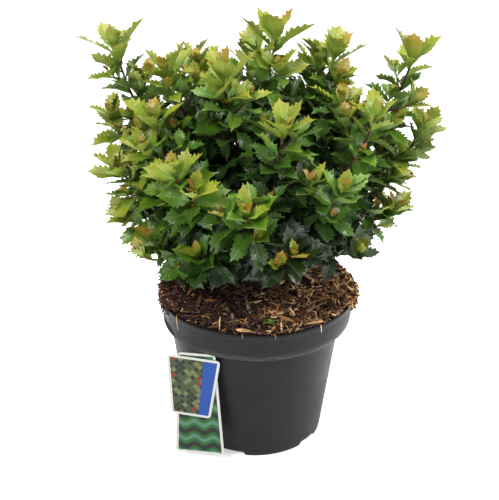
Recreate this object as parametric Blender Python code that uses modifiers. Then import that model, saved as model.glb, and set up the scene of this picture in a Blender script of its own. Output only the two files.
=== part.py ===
# A compact holly shrub in a round nursery pot: pot, growing mix, two plant labels, a short main
# stem, boughs that rise from it, and masses of foliage, each of them one twig with its side twigs
# and leaves. Metres, +Z up, front of the plant towards -Y, origin under the middle of the pot.
import math

import bmesh
import bpy
import numpy as np
from mathutils import Matrix, Vector
from mathutils.bvhtree import BVHTree

MM = 0.001
GAP = 0.3 * MM  # clearance between neighbouring solids
MERGE = 0.01 * MM

# Pot
POT_HEIGHT = 150 * MM
RIM_RADIUS = 95 * MM
SKIRT_FOOT = 121.5 * MM  # height of the skirt's lower edge
SKIRT_RADIUS = 91.3 * MM
BODY_TOP_RADIUS = 83.5 * MM
BODY_FOOT_RADIUS = 67.6 * MM
POT_WALL = 1.6 * MM
POT_FLOOR = 7 * MM  # height of the floor's upper face
FOOT_HEIGHT = 5 * MM
FOOT_RING_WIDTH = 11 * MM
FOOT_COUNT = 5
FOOT_GAP_DEG = 22
FIRST_GAP_DEG = -109  # azimuth of the gap left of the front
PAD_RADIUS = 20 * MM
POT_STEPS = 36

# Growing mix
MIX_CROWN = 158 * MM  # height of its middle
MIX_EDGE = 148 * MM  # height beside the rim
MIX_STEPS = 28

# Labels, which hang flat in front of the wall from under the skirt
LABEL_AZIMUTH_DEG = -100
LABEL_THICKNESS = 0.6 * MM
LABEL_CORNER = 3.5 * MM
CORNER_STEPS = 5
BACK_LABEL = {"top": 121.2 * MM, "height": 110.7 * MM, "top_width": 36 * MM, "foot_width": 48 * MM,
              "side": -40 * MM, "tilt_deg": 0.8, "distance": 84.1 * MM}
FRONT_LABEL = {"top": 117 * MM, "height": 64 * MM, "top_width": 51 * MM, "foot_width": 38 * MM,
               "side": -42.4 * MM, "tilt_deg": -3.5, "distance": 85.0 * MM}

# Main stem, whose foot stands on the mix: root flare, neck and the swollen head that the boughs leave
FLARE_RADIUS = 17 * MM
NECK_RADIUS = 9.5 * MM
HEAD_RADIUS = 15 * MM
HEAD_HEIGHT = 193 * MM  # height of the head's centre
STEM_STEPS = 16
HEAD_RINGS = 9
HEAD_RING_DEG = 16.4

# Boughs
BOUGH_BASE_RADIUS = 3.3 * MM
BOUGH_TIP_RADIUS = 2.0 * MM
KNUCKLE_RADIUS = 3.2 * MM
BOUGH_SPREAD_DEG = 29  # least angle between two boughs on the head
FORK_REACH = 0.46  # how far out a bough ends, as a share of its shoots' mean reach
FORK_RISE = 0.40  # how far up, as a share of their mean height above the head
BOUGH_POINTS = 6
BOUGH_UPTURN = 0.5  # how much steeper a bough ends than the straight line to its fork
KNUCKLE_RINGS = (-0.85, -0.45, 0, 0.5, 0.9)  # places of its rings, as shares of its radius
CURVE_PULL = 0.38  # how far a curve holds its end directions, as a share of its span

# Shoots: every bough's shoots, each with azimuth (degrees), reach and height (mm) of its tip.
# Azimuth -90 is the front. The front's shoots have the sizes of the real ones that show.
FRONT_SHOOTS = {
    "left": {"tall": (178, 127, 390), "upper": (-170, 82, 370), "rear": (150, 132, 300)},
    "left_low": {"mid": (169, 136, 316), "outer": (-163, 126, 286), "low": (-171, 124, 236)},
    "front_left": {"upper": (-146, 106, 343), "mid": (-124, 122, 308), "low": (-117, 104, 226),
                   "side": (-155, 112, 206)},
    "front": {"upper": (-74, 86, 342), "mid": (-93, 130, 280), "low": (-74, 120, 238)},
    "centre": {"top": (15, 19, 395), "left": (-122, 52, 374), "rear": (140, 68, 366)},
    "front_right": {"upper": (-24, 114, 340), "mid": (-53, 122, 288), "low": (-31, 104, 214)},
    "right": {"tall": (6, 144, 379), "upper": (25, 82, 378), "inner": (-7, 78, 340)},
    "right_low": {"mid": (8, 160, 306), "rear": (20, 156, 272), "low": (-5, 128, 236)},
}
BACK_BOUGHS = {"back_right": 52, "back": 91, "back_left": 127}  # azimuths
BACK_SHOOTS = {"upper": (2, 104, 362), "mid": (-14, 134, 300), "low": (12, 114, 232)}

# Twigs and leaves
TWIG_RADIUS = 2.0 * MM
TWIG_TIP_RADIUS = 1.3 * MM
ROOT_DEPTH = 0.25 * MM  # how far a leaf's root lies past its twig's axis
TWIG_POINTS = 5
STEM_SPREAD_DEG = 58  # least angle between two foliage stems on one knuckle
UPRIGHT_ABOVE = 340 * MM  # shoots that end above this height end nearly upright
SPRAWL_BELOW = 220 * MM  # shoots that end below this height sprawl outwards
UPRIGHT_LEAN = 0.25  # outward part of a shoot's last direction, for one part upward
SPRAWL_LEAN = 1.35
SIDE_TWIG_PLACES = (0.34, 0.64)  # shares of the leading twig's length
SIDE_TWIG_LENGTH = 42 * MM
SIDE_TWIG_ANGLE_DEG = 52
SIDE_TWIG_SHARE = 0.42  # longest side twig, as a share of the leading twig's length
SIDE_TWIG_THICKNESS = 0.8  # as a share of the leading twig's
SIDE_TWIG_UPTURN = 0.9
SIDE_TURN_TRIES_DEG = (0, 40, -40, 80, -80, 120)
SIDE_FIRST_LEAF = 11 * MM
GOLDEN_DEG = 137.5
SHOOT_TURN_DEG = 53  # seeds each mass's turn about its leading twig
TWIG_TURN_DEG = 71  # turns the leaves of one twig against the next
LOW_LEAN_DEG = 78  # a leaf's angle off its twig, at the twig's foot
HIGH_LEAN_DEG = 52
LEAF_SHRINK = 0.18  # how much shorter the upper leaves are
LEAF_LENGTH = 42 * MM
LEAF_WIDTH_SHARE = 0.62
LEAF_THICKNESS = 1.4 * MM
LEAF_WIDEST = 0.45  # share of the length
LEAF_FOLD = 0.10  # how far the sides stand up, as a share of the length
LEAF_DROOP = 0.10
LEAF_SPACING = 11.2 * MM
FIRST_LEAF = 9 * MM  # bare length at a leading twig's foot
TIP_LEANS_DEG = (60, 46, 26)  # the tuft at a twig's tip, lowest leaf first
TIP_SPACING = 2.6 * MM
TIP_LEAF_SHARE = 0.8
SPACE_MARGIN = 0.45 * MM  # how far a mass keeps from the edge of its own space
LIMB_MARGIN = 1.5 * MM
TWIG_MARGIN = 0.6 * MM
LEAF_OVER_MIX = 2 * MM
SIZE_TRIES = (1.0, 0.85, 0.7, 0.58)
TURN_TRIES_DEG = (0, 28, -28, 56, -56, 90, -90, 140)
SAMPLE_STEP = 0.25
FLAT_ANGLE = math.radians(0.05)

COLOURS = {
    "pot": ((0.035, 0.036, 0.038), 0.5),
    "growing_mix": ((0.09, 0.045, 0.02), 0.95),
    "label_back": ((0.75, 0.78, 0.72), 0.35),
    "label_front": ((0.8, 0.8, 0.8), 0.35),
    "bark": ((0.06, 0.025, 0.025), 0.75),
    "foliage": ((0.10, 0.19, 0.035), 0.4),
}


def clear_scene():
    for scene_object in list(bpy.data.objects):
        bpy.data.objects.remove(scene_object, do_unlink=True)


def make_collection(name):
    collection = bpy.data.collections.new(name)
    bpy.context.scene.collection.children.link(collection)
    return collection


def make_material(name):
    colour, roughness = COLOURS[name]
    material = bpy.data.materials.new(name)
    material.use_nodes = True
    shader = material.node_tree.nodes["Principled BSDF"]
    shader.inputs["Base Color"].default_value = (*colour, 1)
    shader.inputs["Roughness"].default_value = roughness
    shader.inputs["Metallic"].default_value = 0
    return material


def add_object(name, data, collection, material=None):
    new_object = bpy.data.objects.new(name, data)
    collection.objects.link(new_object)
    if material is not None:
        data.materials.append(material)
    return new_object


def face_outwards(shape):
    """Turns a closed shape's faces outwards, also where its walls are thin and hollow."""
    bmesh.ops.recalc_face_normals(shape, faces=shape.faces)
    if shape.calc_volume(signed=True) < 0:
        bmesh.ops.reverse_faces(shape, faces=shape.faces)


def as_guide(guide):
    guide.hide_render = True
    guide.display_type = "WIRE"


def radial(azimuth_deg):
    angle = math.radians(azimuth_deg)
    return Vector((math.cos(angle), math.sin(angle), 0))


def add_turned(name, profile, steps, collection, material):
    """A profile of (radius, height) points carried round the Z axis by a Screw modifier."""
    mesh = bpy.data.meshes.new(name)
    points = [(radius, 0, height) for radius, height in profile]
    edges = [(index, index + 1) for index in range(len(points) - 1)]
    mesh.from_pydata(points, edges, [])
    turned = add_object(name, mesh, collection, material)
    screw = turned.modifiers.new("Turn", "SCREW")
    screw.steps = steps
    screw.render_steps = steps
    screw.use_merge_vertices = True
    screw.merge_threshold = MERGE
    return turned


def apply_modifiers(changed):
    """Replaces an object's data by the mesh that its modifiers give."""
    bpy.context.view_layer.update()
    graph = bpy.context.evaluated_depsgraph_get()
    mesh = bpy.data.meshes.new_from_object(changed.evaluated_get(graph))
    changed.modifiers.clear()
    changed.data = mesh


def curve_as_mesh(curve_object, collection, material=None):
    """Swaps a curve object for a mesh of the same name with its caps welded on."""
    bpy.context.view_layer.update()
    graph = bpy.context.evaluated_depsgraph_get()
    mesh = bpy.data.meshes.new_from_object(curve_object.evaluated_get(graph))
    mesh.materials.clear()
    place = curve_object.matrix_world.copy()
    name = curve_object.name
    bpy.data.objects.remove(curve_object, do_unlink=True)
    shape = bmesh.new()
    shape.from_mesh(mesh)
    bmesh.ops.remove_doubles(shape, verts=shape.verts, dist=MERGE)
    face_outwards(shape)
    shape.to_mesh(mesh)
    shape.free()
    welded = add_object(name, mesh, collection, material)
    welded.matrix_world = place
    return welded


def add_tube(name, points, radii, collection, material=None, profile=None):
    """A curve through the points, as thick as the radii say, round or with the given profile."""
    curve = bpy.data.curves.new(name, "CURVE")
    curve.dimensions = "3D"
    curve.use_fill_caps = True
    if profile is None:
        curve.bevel_depth = 1.0
        curve.bevel_resolution = 1
    else:
        curve.bevel_mode = "OBJECT"
        curve.bevel_object = profile
    spline = curve.splines.new("POLY")
    spline.points.add(len(points) - 1)
    for knot, point, radius in zip(spline.points, points, radii):
        knot.co = (*point, 1)
        knot.radius = radius
    return curve_as_mesh(add_object(name, curve, collection), collection, material)


def add_pot(parts, cutters, material):
    """Turned shell with a stepped-out skirt under the rim and a foot ring cut into arcs."""
    ring_inside = BODY_FOOT_RADIUS - 2 * MM - FOOT_RING_WIDTH
    inner_foot = BODY_FOOT_RADIUS - POT_WALL
    inner_top = BODY_TOP_RADIUS - POT_WALL
    skirt_inside = SKIRT_RADIUS - POT_WALL
    lip = RIM_RADIUS - 1.2 * MM
    profile = [
        (0, POT_FLOOR), (inner_foot - 4 * MM, POT_FLOOR), (inner_foot, POT_FLOOR + 4 * MM),
        (inner_top, SKIRT_FOOT + POT_WALL), (skirt_inside, SKIRT_FOOT + POT_WALL),
        (lip - POT_WALL, POT_HEIGHT - 2 * MM), (lip - POT_WALL + 0.8 * MM, POT_HEIGHT),
        (RIM_RADIUS - 0.6 * MM, POT_HEIGHT), (RIM_RADIUS, POT_HEIGHT - 0.8 * MM),
        (RIM_RADIUS, POT_HEIGHT - 3.5 * MM), (lip, POT_HEIGHT - 4.5 * MM),
        (SKIRT_RADIUS + 0.3 * MM, SKIRT_FOOT + 2 * MM), (SKIRT_RADIUS - 0.6 * MM, SKIRT_FOOT + 0.4 * MM),
        (SKIRT_RADIUS - 2 * MM, SKIRT_FOOT), (BODY_TOP_RADIUS, SKIRT_FOOT),
        (BODY_FOOT_RADIUS, 5 * MM), (BODY_FOOT_RADIUS - 0.7 * MM, 1.6 * MM),
        (BODY_FOOT_RADIUS - 2.2 * MM, 0),
        (ring_inside + 1 * MM, 0), (ring_inside, FOOT_HEIGHT),
        (PAD_RADIUS + 1 * MM, FOOT_HEIGHT), (PAD_RADIUS, 0), (0, 0),
    ]
    pot = add_turned("pot", profile, POT_STEPS, parts, material)
    gap_width = 2 * BODY_FOOT_RADIUS * math.sin(math.radians(FOOT_GAP_DEG / 2))
    gap_length = FOOT_RING_WIDTH + 10 * MM
    gap_top = FOOT_HEIGHT - 0.4 * MM
    gap_bottom = -2 * MM
    for index in range(FOOT_COUNT):
        azimuth = FIRST_GAP_DEG + index * 360 / FOOT_COUNT
        mesh = bpy.data.meshes.new("foot_gap")
        shape = bmesh.new()
        bmesh.ops.create_cube(shape, size=1)
        size = Matrix.Diagonal((gap_length, gap_width, gap_top - gap_bottom, 1))
        bmesh.ops.transform(shape, matrix=size, verts=shape.verts)
        shape.to_mesh(mesh)
        shape.free()
        cutter = add_object(f"foot_gap_{index + 1}", mesh, cutters)
        middle = radial(azimuth) * (BODY_FOOT_RADIUS - FOOT_RING_WIDTH / 2)
        cutter.location = (middle.x, middle.y, (gap_top + gap_bottom) / 2)
        cutter.rotation_euler.z = math.radians(azimuth)
        as_guide(cutter)
        cut = pot.modifiers.new(f"Foot gap {index + 1}", "BOOLEAN")
        cut.operation = "DIFFERENCE"
        cut.object = cutter


def add_growing_mix(parts, material):
    """Turned body that fills the pot 0.3 mm clear of its wall, mounded towards the stem."""
    inner_foot = BODY_FOOT_RADIUS - POT_WALL - GAP
    inner_top = BODY_TOP_RADIUS - POT_WALL - GAP
    skirt_inside = SKIRT_RADIUS - POT_WALL - GAP
    shoulder = SKIRT_FOOT + POT_WALL + GAP
    mound = [(FLARE_RADIUS + 3 * MM, MIX_CROWN)]
    for share in (0.35, 0.65, 0.88):
        reach = mound[0][0] + share * (skirt_inside - mound[0][0])
        mound.append((reach, MIX_CROWN - (MIX_CROWN - MIX_EDGE) * share ** 2))
    lip_inside = skirt_inside + 0.55 * (RIM_RADIUS - SKIRT_RADIUS)
    profile = [
        (0, MIX_CROWN), *mound, (lip_inside, MIX_EDGE - 1 * MM), (lip_inside, MIX_EDGE - 3 * MM),
        (skirt_inside, shoulder), (inner_top, shoulder), (inner_foot, POT_FLOOR + 4 * MM + GAP),
        (inner_foot - 4 * MM, POT_FLOOR + GAP), (0, POT_FLOOR + GAP),
    ]
    add_turned("growing_mix", profile, MIX_STEPS, parts, material)


def label_outline(sizes):
    """Corner-rounded outline of a card that is wider at one end, in its own plane, top at zero."""
    top = sizes["top_width"] / 2
    foot = sizes["foot_width"] / 2
    height = sizes["height"]
    corners = [Vector((-foot, -height)), Vector((foot, -height)), Vector((top, 0)), Vector((-top, 0))]
    outline = []
    for index, corner in enumerate(corners):
        before = (corners[index - 1] - corner).normalized()
        after = (corners[(index + 1) % 4] - corner).normalized()
        half = before.angle(after) / 2
        centre = corner + (before + after).normalized() * (LABEL_CORNER / math.sin(half))
        start = corner + before * (LABEL_CORNER / math.tan(half)) - centre
        end = corner + after * (LABEL_CORNER / math.tan(half)) - centre
        sweep = start.angle_signed(end)
        for step in range(CORNER_STEPS + 1):
            turned = start.copy()
            turned.rotate(Matrix.Rotation(-sweep * step / CORNER_STEPS, 2))
            outline.append(centre + turned)
    return outline


def add_label(name, sizes, parts, material):
    curve = bpy.data.curves.new(name, "CURVE")
    curve.dimensions = "2D"
    curve.fill_mode = "BOTH"
    curve.extrude = LABEL_THICKNESS / 2
    outline = label_outline(sizes)
    spline = curve.splines.new("POLY")
    spline.points.add(len(outline) - 1)
    for knot, point in zip(spline.points, outline):
        knot.co = (point.x, point.y, 0, 1)
    spline.use_cyclic_u = True
    card = add_object(name, curve, parts)
    outward = radial(LABEL_AZIMUTH_DEG)
    across = Vector((-outward.y, outward.x, 0))
    upright = Matrix((across, Vector((0, 0, 1)), outward)).transposed().to_4x4()
    place = outward * (sizes["distance"] + LABEL_THICKNESS / 2) + across * sizes["side"]
    place.z = sizes["top"]
    tilt = Matrix.Rotation(math.radians(sizes["tilt_deg"]), 4, "Z")
    card.matrix_world = Matrix.Translation(place) @ upright @ tilt
    curve_as_mesh(card, parts, material)


def add_main_stem(parts, material):
    """Turned foot with a root flare, a neck, and a round head."""
    foot = MIX_CROWN + GAP
    neck = HEAD_HEIGHT - math.sqrt(HEAD_RADIUS ** 2 - NECK_RADIUS ** 2)
    profile = []
    for step in range(HEAD_RINGS):
        angle = math.radians(90 - step * HEAD_RING_DEG)
        height = HEAD_HEIGHT + HEAD_RADIUS * math.sin(angle)
        radius = HEAD_RADIUS * math.cos(angle)
        if height > neck:
            profile.append((max(radius, 0), height))
    profile.append((NECK_RADIUS, neck))
    for share in (0.45, 0.75, 1.0):
        height = neck + (foot - neck) * share
        profile.append((NECK_RADIUS + (FLARE_RADIUS - NECK_RADIUS) * share ** 3, height))
    profile.append((0, foot))
    add_turned("main_stem", profile, STEM_STEPS, parts, material)


def tip_point(azimuth_deg, reach_mm, height_mm):
    place = radial(azimuth_deg) * reach_mm * MM
    place.z = height_mm * MM
    return place


def shoot_tips():
    """Every bough's shoots with the places of their tips. The back's boughs repeat one pattern."""
    boughs = {}
    for bough, shoots in FRONT_SHOOTS.items():
        boughs[bough] = {name: tip_point(*sizes) for name, sizes in shoots.items()}
    for bough, middle in BACK_BOUGHS.items():
        shoots = {}
        for name, (turn, reach, height) in BACK_SHOOTS.items():
            shoots[name] = tip_point(middle + turn, reach, height)
        boughs[bough] = shoots
    return boughs


def spread_apart(directions, least_deg, rounds=60):
    """Turns unit vectors away from each other until every pair is the least angle apart."""
    least = math.radians(least_deg)
    spread = [direction.copy() for direction in directions]
    for _ in range(rounds):
        for first in range(len(spread)):
            for second in range(first + 1, len(spread)):
                angle = spread[first].angle(spread[second])
                if angle < least:
                    push = (spread[first] - spread[second]).normalized() * (least - angle) * 0.55
                    spread[first] = (spread[first] + push).normalized()
                    spread[second] = (spread[second] - push).normalized()
    return spread


def bend(start, start_direction, end, end_direction, count):
    """Points on a cubic curve that leaves and arrives in the given directions."""
    reach = (end - start).length * CURVE_PULL
    handles = (start, start + start_direction * reach, end - end_direction * reach, end)
    points = []
    for step in range(count):
        share = step / (count - 1)
        rest = 1 - share
        weights = (rest ** 3, 3 * rest ** 2 * share, 3 * rest * share ** 2, share ** 3)
        points.append(sum((handle * weight for handle, weight in zip(handles, weights)), Vector()))
    return points


def plan_boughs(boughs):
    """Each bough's curve from the head to its fork, and the forks."""
    head = Vector((0, 0, HEAD_HEIGHT))
    forks = {}
    for bough, shoots in boughs.items():
        mean = sum(shoots.values(), Vector()) / len(shoots)
        forks[bough] = Vector((mean.x * FORK_REACH, mean.y * FORK_REACH,
                               HEAD_HEIGHT + (mean.z - HEAD_HEIGHT) * FORK_RISE))
    aims = [(fork - head).normalized() for fork in forks.values()]
    leaving = spread_apart(aims, BOUGH_SPREAD_DEG)
    curves = {}
    for (bough, fork), direction in zip(forks.items(), leaving):
        start = head + direction * (HEAD_RADIUS + GAP)
        arriving = ((fork - start).normalized() + Vector((0, 0, BOUGH_UPTURN))).normalized()
        curves[bough] = bend(start, direction, fork, arriving, BOUGH_POINTS)
    return curves, forks


def add_bough(name, curve, parts, material):
    """A tapering limb that ends in a small knuckle, where its foliage stems start."""
    points = list(curve[:-1])
    last = len(curve) - 1
    radii = []
    for index in range(last):
        radii.append(BOUGH_BASE_RADIUS + (BOUGH_TIP_RADIUS - BOUGH_BASE_RADIUS) * index / last)
    fork = curve[-1]
    along = (curve[-1] - curve[-2]).normalized()
    for offset in KNUCKLE_RINGS:
        points.append(fork + along * KNUCKLE_RADIUS * offset)
        radii.append(max(KNUCKLE_RADIUS * math.sqrt(1 - offset ** 2), BOUGH_TIP_RADIUS * (offset < 0)))
    return add_tube(name, points, radii, parts, material)


def plan_stems(boughs, forks):
    """The leading twig of every mass: a curve from its bough's knuckle up to the shoot's tip."""
    stems = {}
    for bough, shoots in boughs.items():
        fork = forks[bough]
        aims = []
        for tip in shoots.values():
            aims.append((tip - fork).normalized())
        leaving = spread_apart(aims, STEM_SPREAD_DEG)
        for (shoot, tip), direction in zip(shoots.items(), leaving):
            start = fork + direction * (KNUCKLE_RADIUS + GAP * 1.5)
            outward = Vector((tip.x, tip.y, 0)).normalized()
            low = min(max((UPRIGHT_ABOVE - tip.z) / (UPRIGHT_ABOVE - SPRAWL_BELOW), 0), 1)
            lean = UPRIGHT_LEAN + (SPRAWL_LEAN - UPRIGHT_LEAN) * low
            arriving = (outward * lean + Vector((0, 0, 1))).normalized()
            stems[f"{bough}_{shoot}"] = bend(start, direction, tip, arriving, TWIG_POINTS)
    return stems


def segments_of(points):
    rows = np.array([tuple(point) for point in points])
    return rows[:-1], rows[1:]


def distances(samples, starts, ends):
    """Distance of every sample point to every straight piece."""
    run = ends - starts
    square = np.maximum((run ** 2).sum(axis=1), 1e-12)
    to_sample = samples[:, None, :] - starts[None, :, :]
    share = np.clip((to_sample * run).sum(axis=2) / square, 0, 1)
    nearest = starts[None, :, :] + run[None, :, :] * share[:, :, None]
    return np.sqrt(((samples[:, None, :] - nearest) ** 2).sum(axis=2))


class Spaces:
    """Keeps each mass in its own space: the points nearer to its leading twig than to any other."""

    def __init__(self, stems, limbs):
        pieces = [segments_of(points) for points in stems.values()]
        self.starts = np.concatenate([starts for starts, _ in pieces])
        self.ends = np.concatenate([ends for _, ends in pieces])
        self.owner = np.concatenate([[name] * len(starts) for name, (starts, _) in zip(stems, pieces)])
        limb_pieces = [segments_of(points) for points in limbs]
        self.limb_starts = np.concatenate([starts for starts, _ in limb_pieces])
        self.limb_ends = np.concatenate([ends for _, ends in limb_pieces])
        self.placed = []

    def holds(self, name, samples):
        if samples[:, 2].min() < MIX_CROWN + LEAF_OVER_MIX:
            return False
        if distances(samples, self.limb_starts, self.limb_ends).min() < BOUGH_BASE_RADIUS + LIMB_MARGIN:
            return False
        apart = distances(samples, self.starts, self.ends)
        own = self.owner == name
        return bool((apart[:, ~own].min(axis=1) > apart[:, own].min(axis=1) + 2 * SPACE_MARGIN).all())

    def crosses(self, tree, low, high):
        for other_tree, other_low, other_high in self.placed:
            if (low < other_high).all() and (high > other_low).all():
                if tree.overlap(other_tree):
                    return True
        return False

    def keep(self, tree, low, high):
        self.placed.append((tree, low, high))


LEAF_FACES = [(0, 2, 4), (0, 4, 3), (0, 3, 5), (0, 5, 2), (1, 4, 2), (1, 3, 4), (1, 5, 3), (1, 2, 5)]


def leaf_corners(root, along, up, length):
    """Root, tip, two sides, top and bottom of a leaf folded up along its midrib."""
    side = along.cross(up)
    half_width = length * LEAF_WIDTH_SHARE / 2
    middle = root + along * length * LEAF_WIDEST
    tip = root + along * length - up * length * LEAF_DROOP
    raised = middle + up * length * LEAF_FOLD
    thickness = up * LEAF_THICKNESS / 2
    return [root, tip, raised - side * half_width, raised + side * half_width,
            middle + thickness, middle - thickness]


def leaf_samples(corners):
    """Points all over the two halves of a leaf's blade."""
    root, tip, left, right = (np.array(corner) for corner in corners[:4])
    middle = (np.array(corners[4]) + np.array(corners[5])) / 2
    rows = []
    for side in (left, right):
        for outer, inner in ((root, middle), (tip, middle)):
            for first in np.arange(0, 1.01, SAMPLE_STEP):
                for second in np.arange(0, 1.01 - first, SAMPLE_STEP):
                    rows.append(outer + (side - outer) * first + (inner - outer) * second)
    return np.array(rows)


def frame_along(points, share):
    """Place and direction at a share of the length of a line of points."""
    lengths = [(second - first).length for first, second in zip(points, points[1:])]
    wanted = share * sum(lengths)
    for index, length in enumerate(lengths):
        if wanted <= length or index == len(lengths) - 1:
            direction = (points[index + 1] - points[index]).normalized()
            return points[index] + direction * wanted, direction
        wanted -= length
    return points[-1], direction


def side_of(direction, turn_deg):
    """Unit vector square to a direction, turned about it from a fixed start."""
    reference = Vector((0, 0, 1)) if abs(direction.z) < 0.9 else Vector((0, 1, 0))
    first = direction.cross(reference).normalized()
    return Matrix.Rotation(math.radians(turn_deg), 3, direction) @ first


def fit_leaf(name, spaces, twigs, own, place, direction, turn_deg, lean_deg, length):
    """The first size and turn of a leaf that stays in its mass's space and touches nothing."""
    lean = math.radians(lean_deg)
    for size in SIZE_TRIES:
        for extra in TURN_TRIES_DEG:
            out = side_of(direction, turn_deg + extra)
            along = direction * math.cos(lean) + out * math.sin(lean)
            up = direction * math.sin(lean) - out * math.cos(lean)
            root = place - along * ROOT_DEPTH
            corners = leaf_corners(root, along, up, length * size)
            samples = leaf_samples(corners)
            if not spaces.holds(name, samples):
                continue
            others = [pieces for index, pieces in enumerate(twigs) if index != own]
            if any(distances(samples, *pieces).min() < TWIG_RADIUS + TWIG_MARGIN for pieces in others):
                continue
            rows = np.array([tuple(corner) for corner in corners])
            low = rows.min(axis=0) - GAP
            high = rows.max(axis=0) + GAP
            tree = BVHTree.FromPolygons([tuple(corner) for corner in corners], LEAF_FACES)
            if spaces.crosses(tree, low, high):
                continue
            spaces.keep(tree, low, high)
            return corners
    return None


def plan_side_twigs(name, points, spaces, seed_turn):
    """Short twigs that leave the leading one and bend up, where there is room for them."""
    twigs = []
    total = sum((second - first).length for first, second in zip(points, points[1:]))
    for index, share in enumerate(SIDE_TWIG_PLACES):
        place, direction = frame_along(points, share)
        angle = math.radians(SIDE_TWIG_ANGLE_DEG)
        length = min(SIDE_TWIG_LENGTH, total * SIDE_TWIG_SHARE) * (1 - 0.3 * share)
        for extra in SIDE_TURN_TRIES_DEG:
            out = side_of(direction, seed_turn + index * GOLDEN_DEG + extra)
            leaving = direction * math.cos(angle) + out * math.sin(angle)
            arriving = (leaving + Vector((0, 0, SIDE_TWIG_UPTURN))).normalized()
            line = bend(place, leaving, place + (leaving + arriving) * length / 2, arriving, 3)
            samples = np.array([tuple(point) for point in line[1:]])
            if spaces.holds(name, samples):
                twigs.append(line)
                break
    return twigs


def plan_leaves(name, twigs, spaces, seed_turn):
    """Leaves in a spiral up each twig, flatter at its foot, and a tuft of small ones at its tip."""
    pieces = [segments_of(twig) for twig in twigs]
    leaves = []
    for own, twig in enumerate(twigs):
        total = sum((second - first).length for first, second in zip(twig, twig[1:]))
        start = FIRST_LEAF if own == 0 else SIDE_FIRST_LEAF
        tuft = len(TIP_LEANS_DEG) * TIP_SPACING
        count = max(int((total - tuft - start) / LEAF_SPACING), 1)
        for index in range(count):
            share = (start + index * LEAF_SPACING) / total
            place, direction = frame_along(twig, share)
            turn = seed_turn + own * TWIG_TURN_DEG + index * GOLDEN_DEG
            lean = LOW_LEAN_DEG + (HIGH_LEAN_DEG - LOW_LEAN_DEG) * share
            corners = fit_leaf(name, spaces, pieces, own, place, direction, turn, lean,
                               LEAF_LENGTH * (1 - LEAF_SHRINK * share))
            if corners is not None:
                leaves.append(corners)
        for index, lean in enumerate(TIP_LEANS_DEG):
            below = (len(TIP_LEANS_DEG) - index) * TIP_SPACING - TIP_SPACING / 2
            place, direction = frame_along(twig, 1 - below / total)
            turn = seed_turn + own * TWIG_TURN_DEG + (count + index) * GOLDEN_DEG
            corners = fit_leaf(name, spaces, pieces, own, place, direction, turn, lean,
                               LEAF_LENGTH * TIP_LEAF_SHARE)
            if corners is not None:
                leaves.append(corners)
    return leaves


def add_leaf(corners, collection):
    """An eight-sided ball of one ring, with its corners moved to a leaf's."""
    mesh = bpy.data.meshes.new("leaf")
    shape = bmesh.new()
    bmesh.ops.create_uvsphere(shape, u_segments=4, v_segments=2, radius=1)
    root, tip, left, right, top, bottom = corners
    for vertex in shape.verts:
        if abs(vertex.co.z) > 0.5:
            vertex.co = tip if vertex.co.z > 0 else root
        elif abs(vertex.co.x) > 0.5:
            vertex.co = right if vertex.co.x > 0 else left
        else:
            vertex.co = top if vertex.co.y > 0 else bottom
    face_outwards(shape)
    shape.to_mesh(mesh)
    shape.free()
    return add_object("leaf", mesh, collection)


def tidy_mass(mesh):
    """Drops loose scraps of a joined mesh, and the edges that the union left inside flat faces."""
    shape = bmesh.new()
    shape.from_mesh(mesh)
    unseen = set(shape.verts)
    groups = []
    while unseen:
        stack = [unseen.pop()]
        group = set(stack)
        while stack:
            vertex = stack.pop()
            for edge in vertex.link_edges:
                other = edge.other_vert(vertex)
                if other not in group:
                    group.add(other)
                    stack.append(other)
        unseen -= group
        groups.append(group)
    groups.sort(key=len)
    scraps = [vertex for group in groups[:-1] for vertex in group]
    bmesh.ops.delete(shape, geom=scraps, context="VERTS")
    bmesh.ops.dissolve_limit(shape, angle_limit=FLAT_ANGLE, verts=shape.verts, edges=shape.edges)
    bmesh.ops.triangulate(shape, faces=shape.faces)
    shape.to_mesh(mesh)
    shape.free()


def add_mass(name, twigs, leaves, parts, profile, material):
    """One solid of a leading twig, its side twigs and its leaves, joined by one Boolean union."""
    collection = make_collection("mass_pieces")
    for index, twig in enumerate(twigs):
        count = len(twig)
        scale = 1.0 if index == 0 else SIDE_TWIG_THICKNESS
        radii = []
        for step in range(count):
            radii.append(scale * (TWIG_RADIUS + (TWIG_TIP_RADIUS - TWIG_RADIUS) * step / (count - 1)))
        if index == 0:
            mass = add_tube(f"foliage_{name}", twig, radii, parts, material, profile)
        else:
            add_tube("side_twig", twig, radii, collection, None, profile)
    for corners in leaves:
        add_leaf(corners, collection)
    union = mass.modifiers.new("Join", "BOOLEAN")
    union.operation = "UNION"
    union.operand_type = "COLLECTION"
    union.collection = collection
    union.solver = "MANIFOLD"
    apply_modifiers(mass)
    for piece in list(collection.objects):
        bpy.data.objects.remove(piece, do_unlink=True)
    bpy.data.collections.remove(collection)
    tidy_mass(mass.data)
    mass.data.materials.clear()
    mass.data.materials.append(material)


def twig_profile(cutters):
    """Three-cornered outline, one metre in radius, that a twig's radii scale."""
    curve = bpy.data.curves.new("twig_profile", "CURVE")
    curve.dimensions = "2D"
    spline = curve.splines.new("POLY")
    spline.points.add(2)
    for index, knot in enumerate(spline.points):
        corner = radial(90 + index * 120)
        knot.co = (corner.x, corner.y, 0, 1)
    spline.use_cyclic_u = True
    profile = add_object("twig_profile", curve, cutters)
    as_guide(profile)
    return profile


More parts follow.
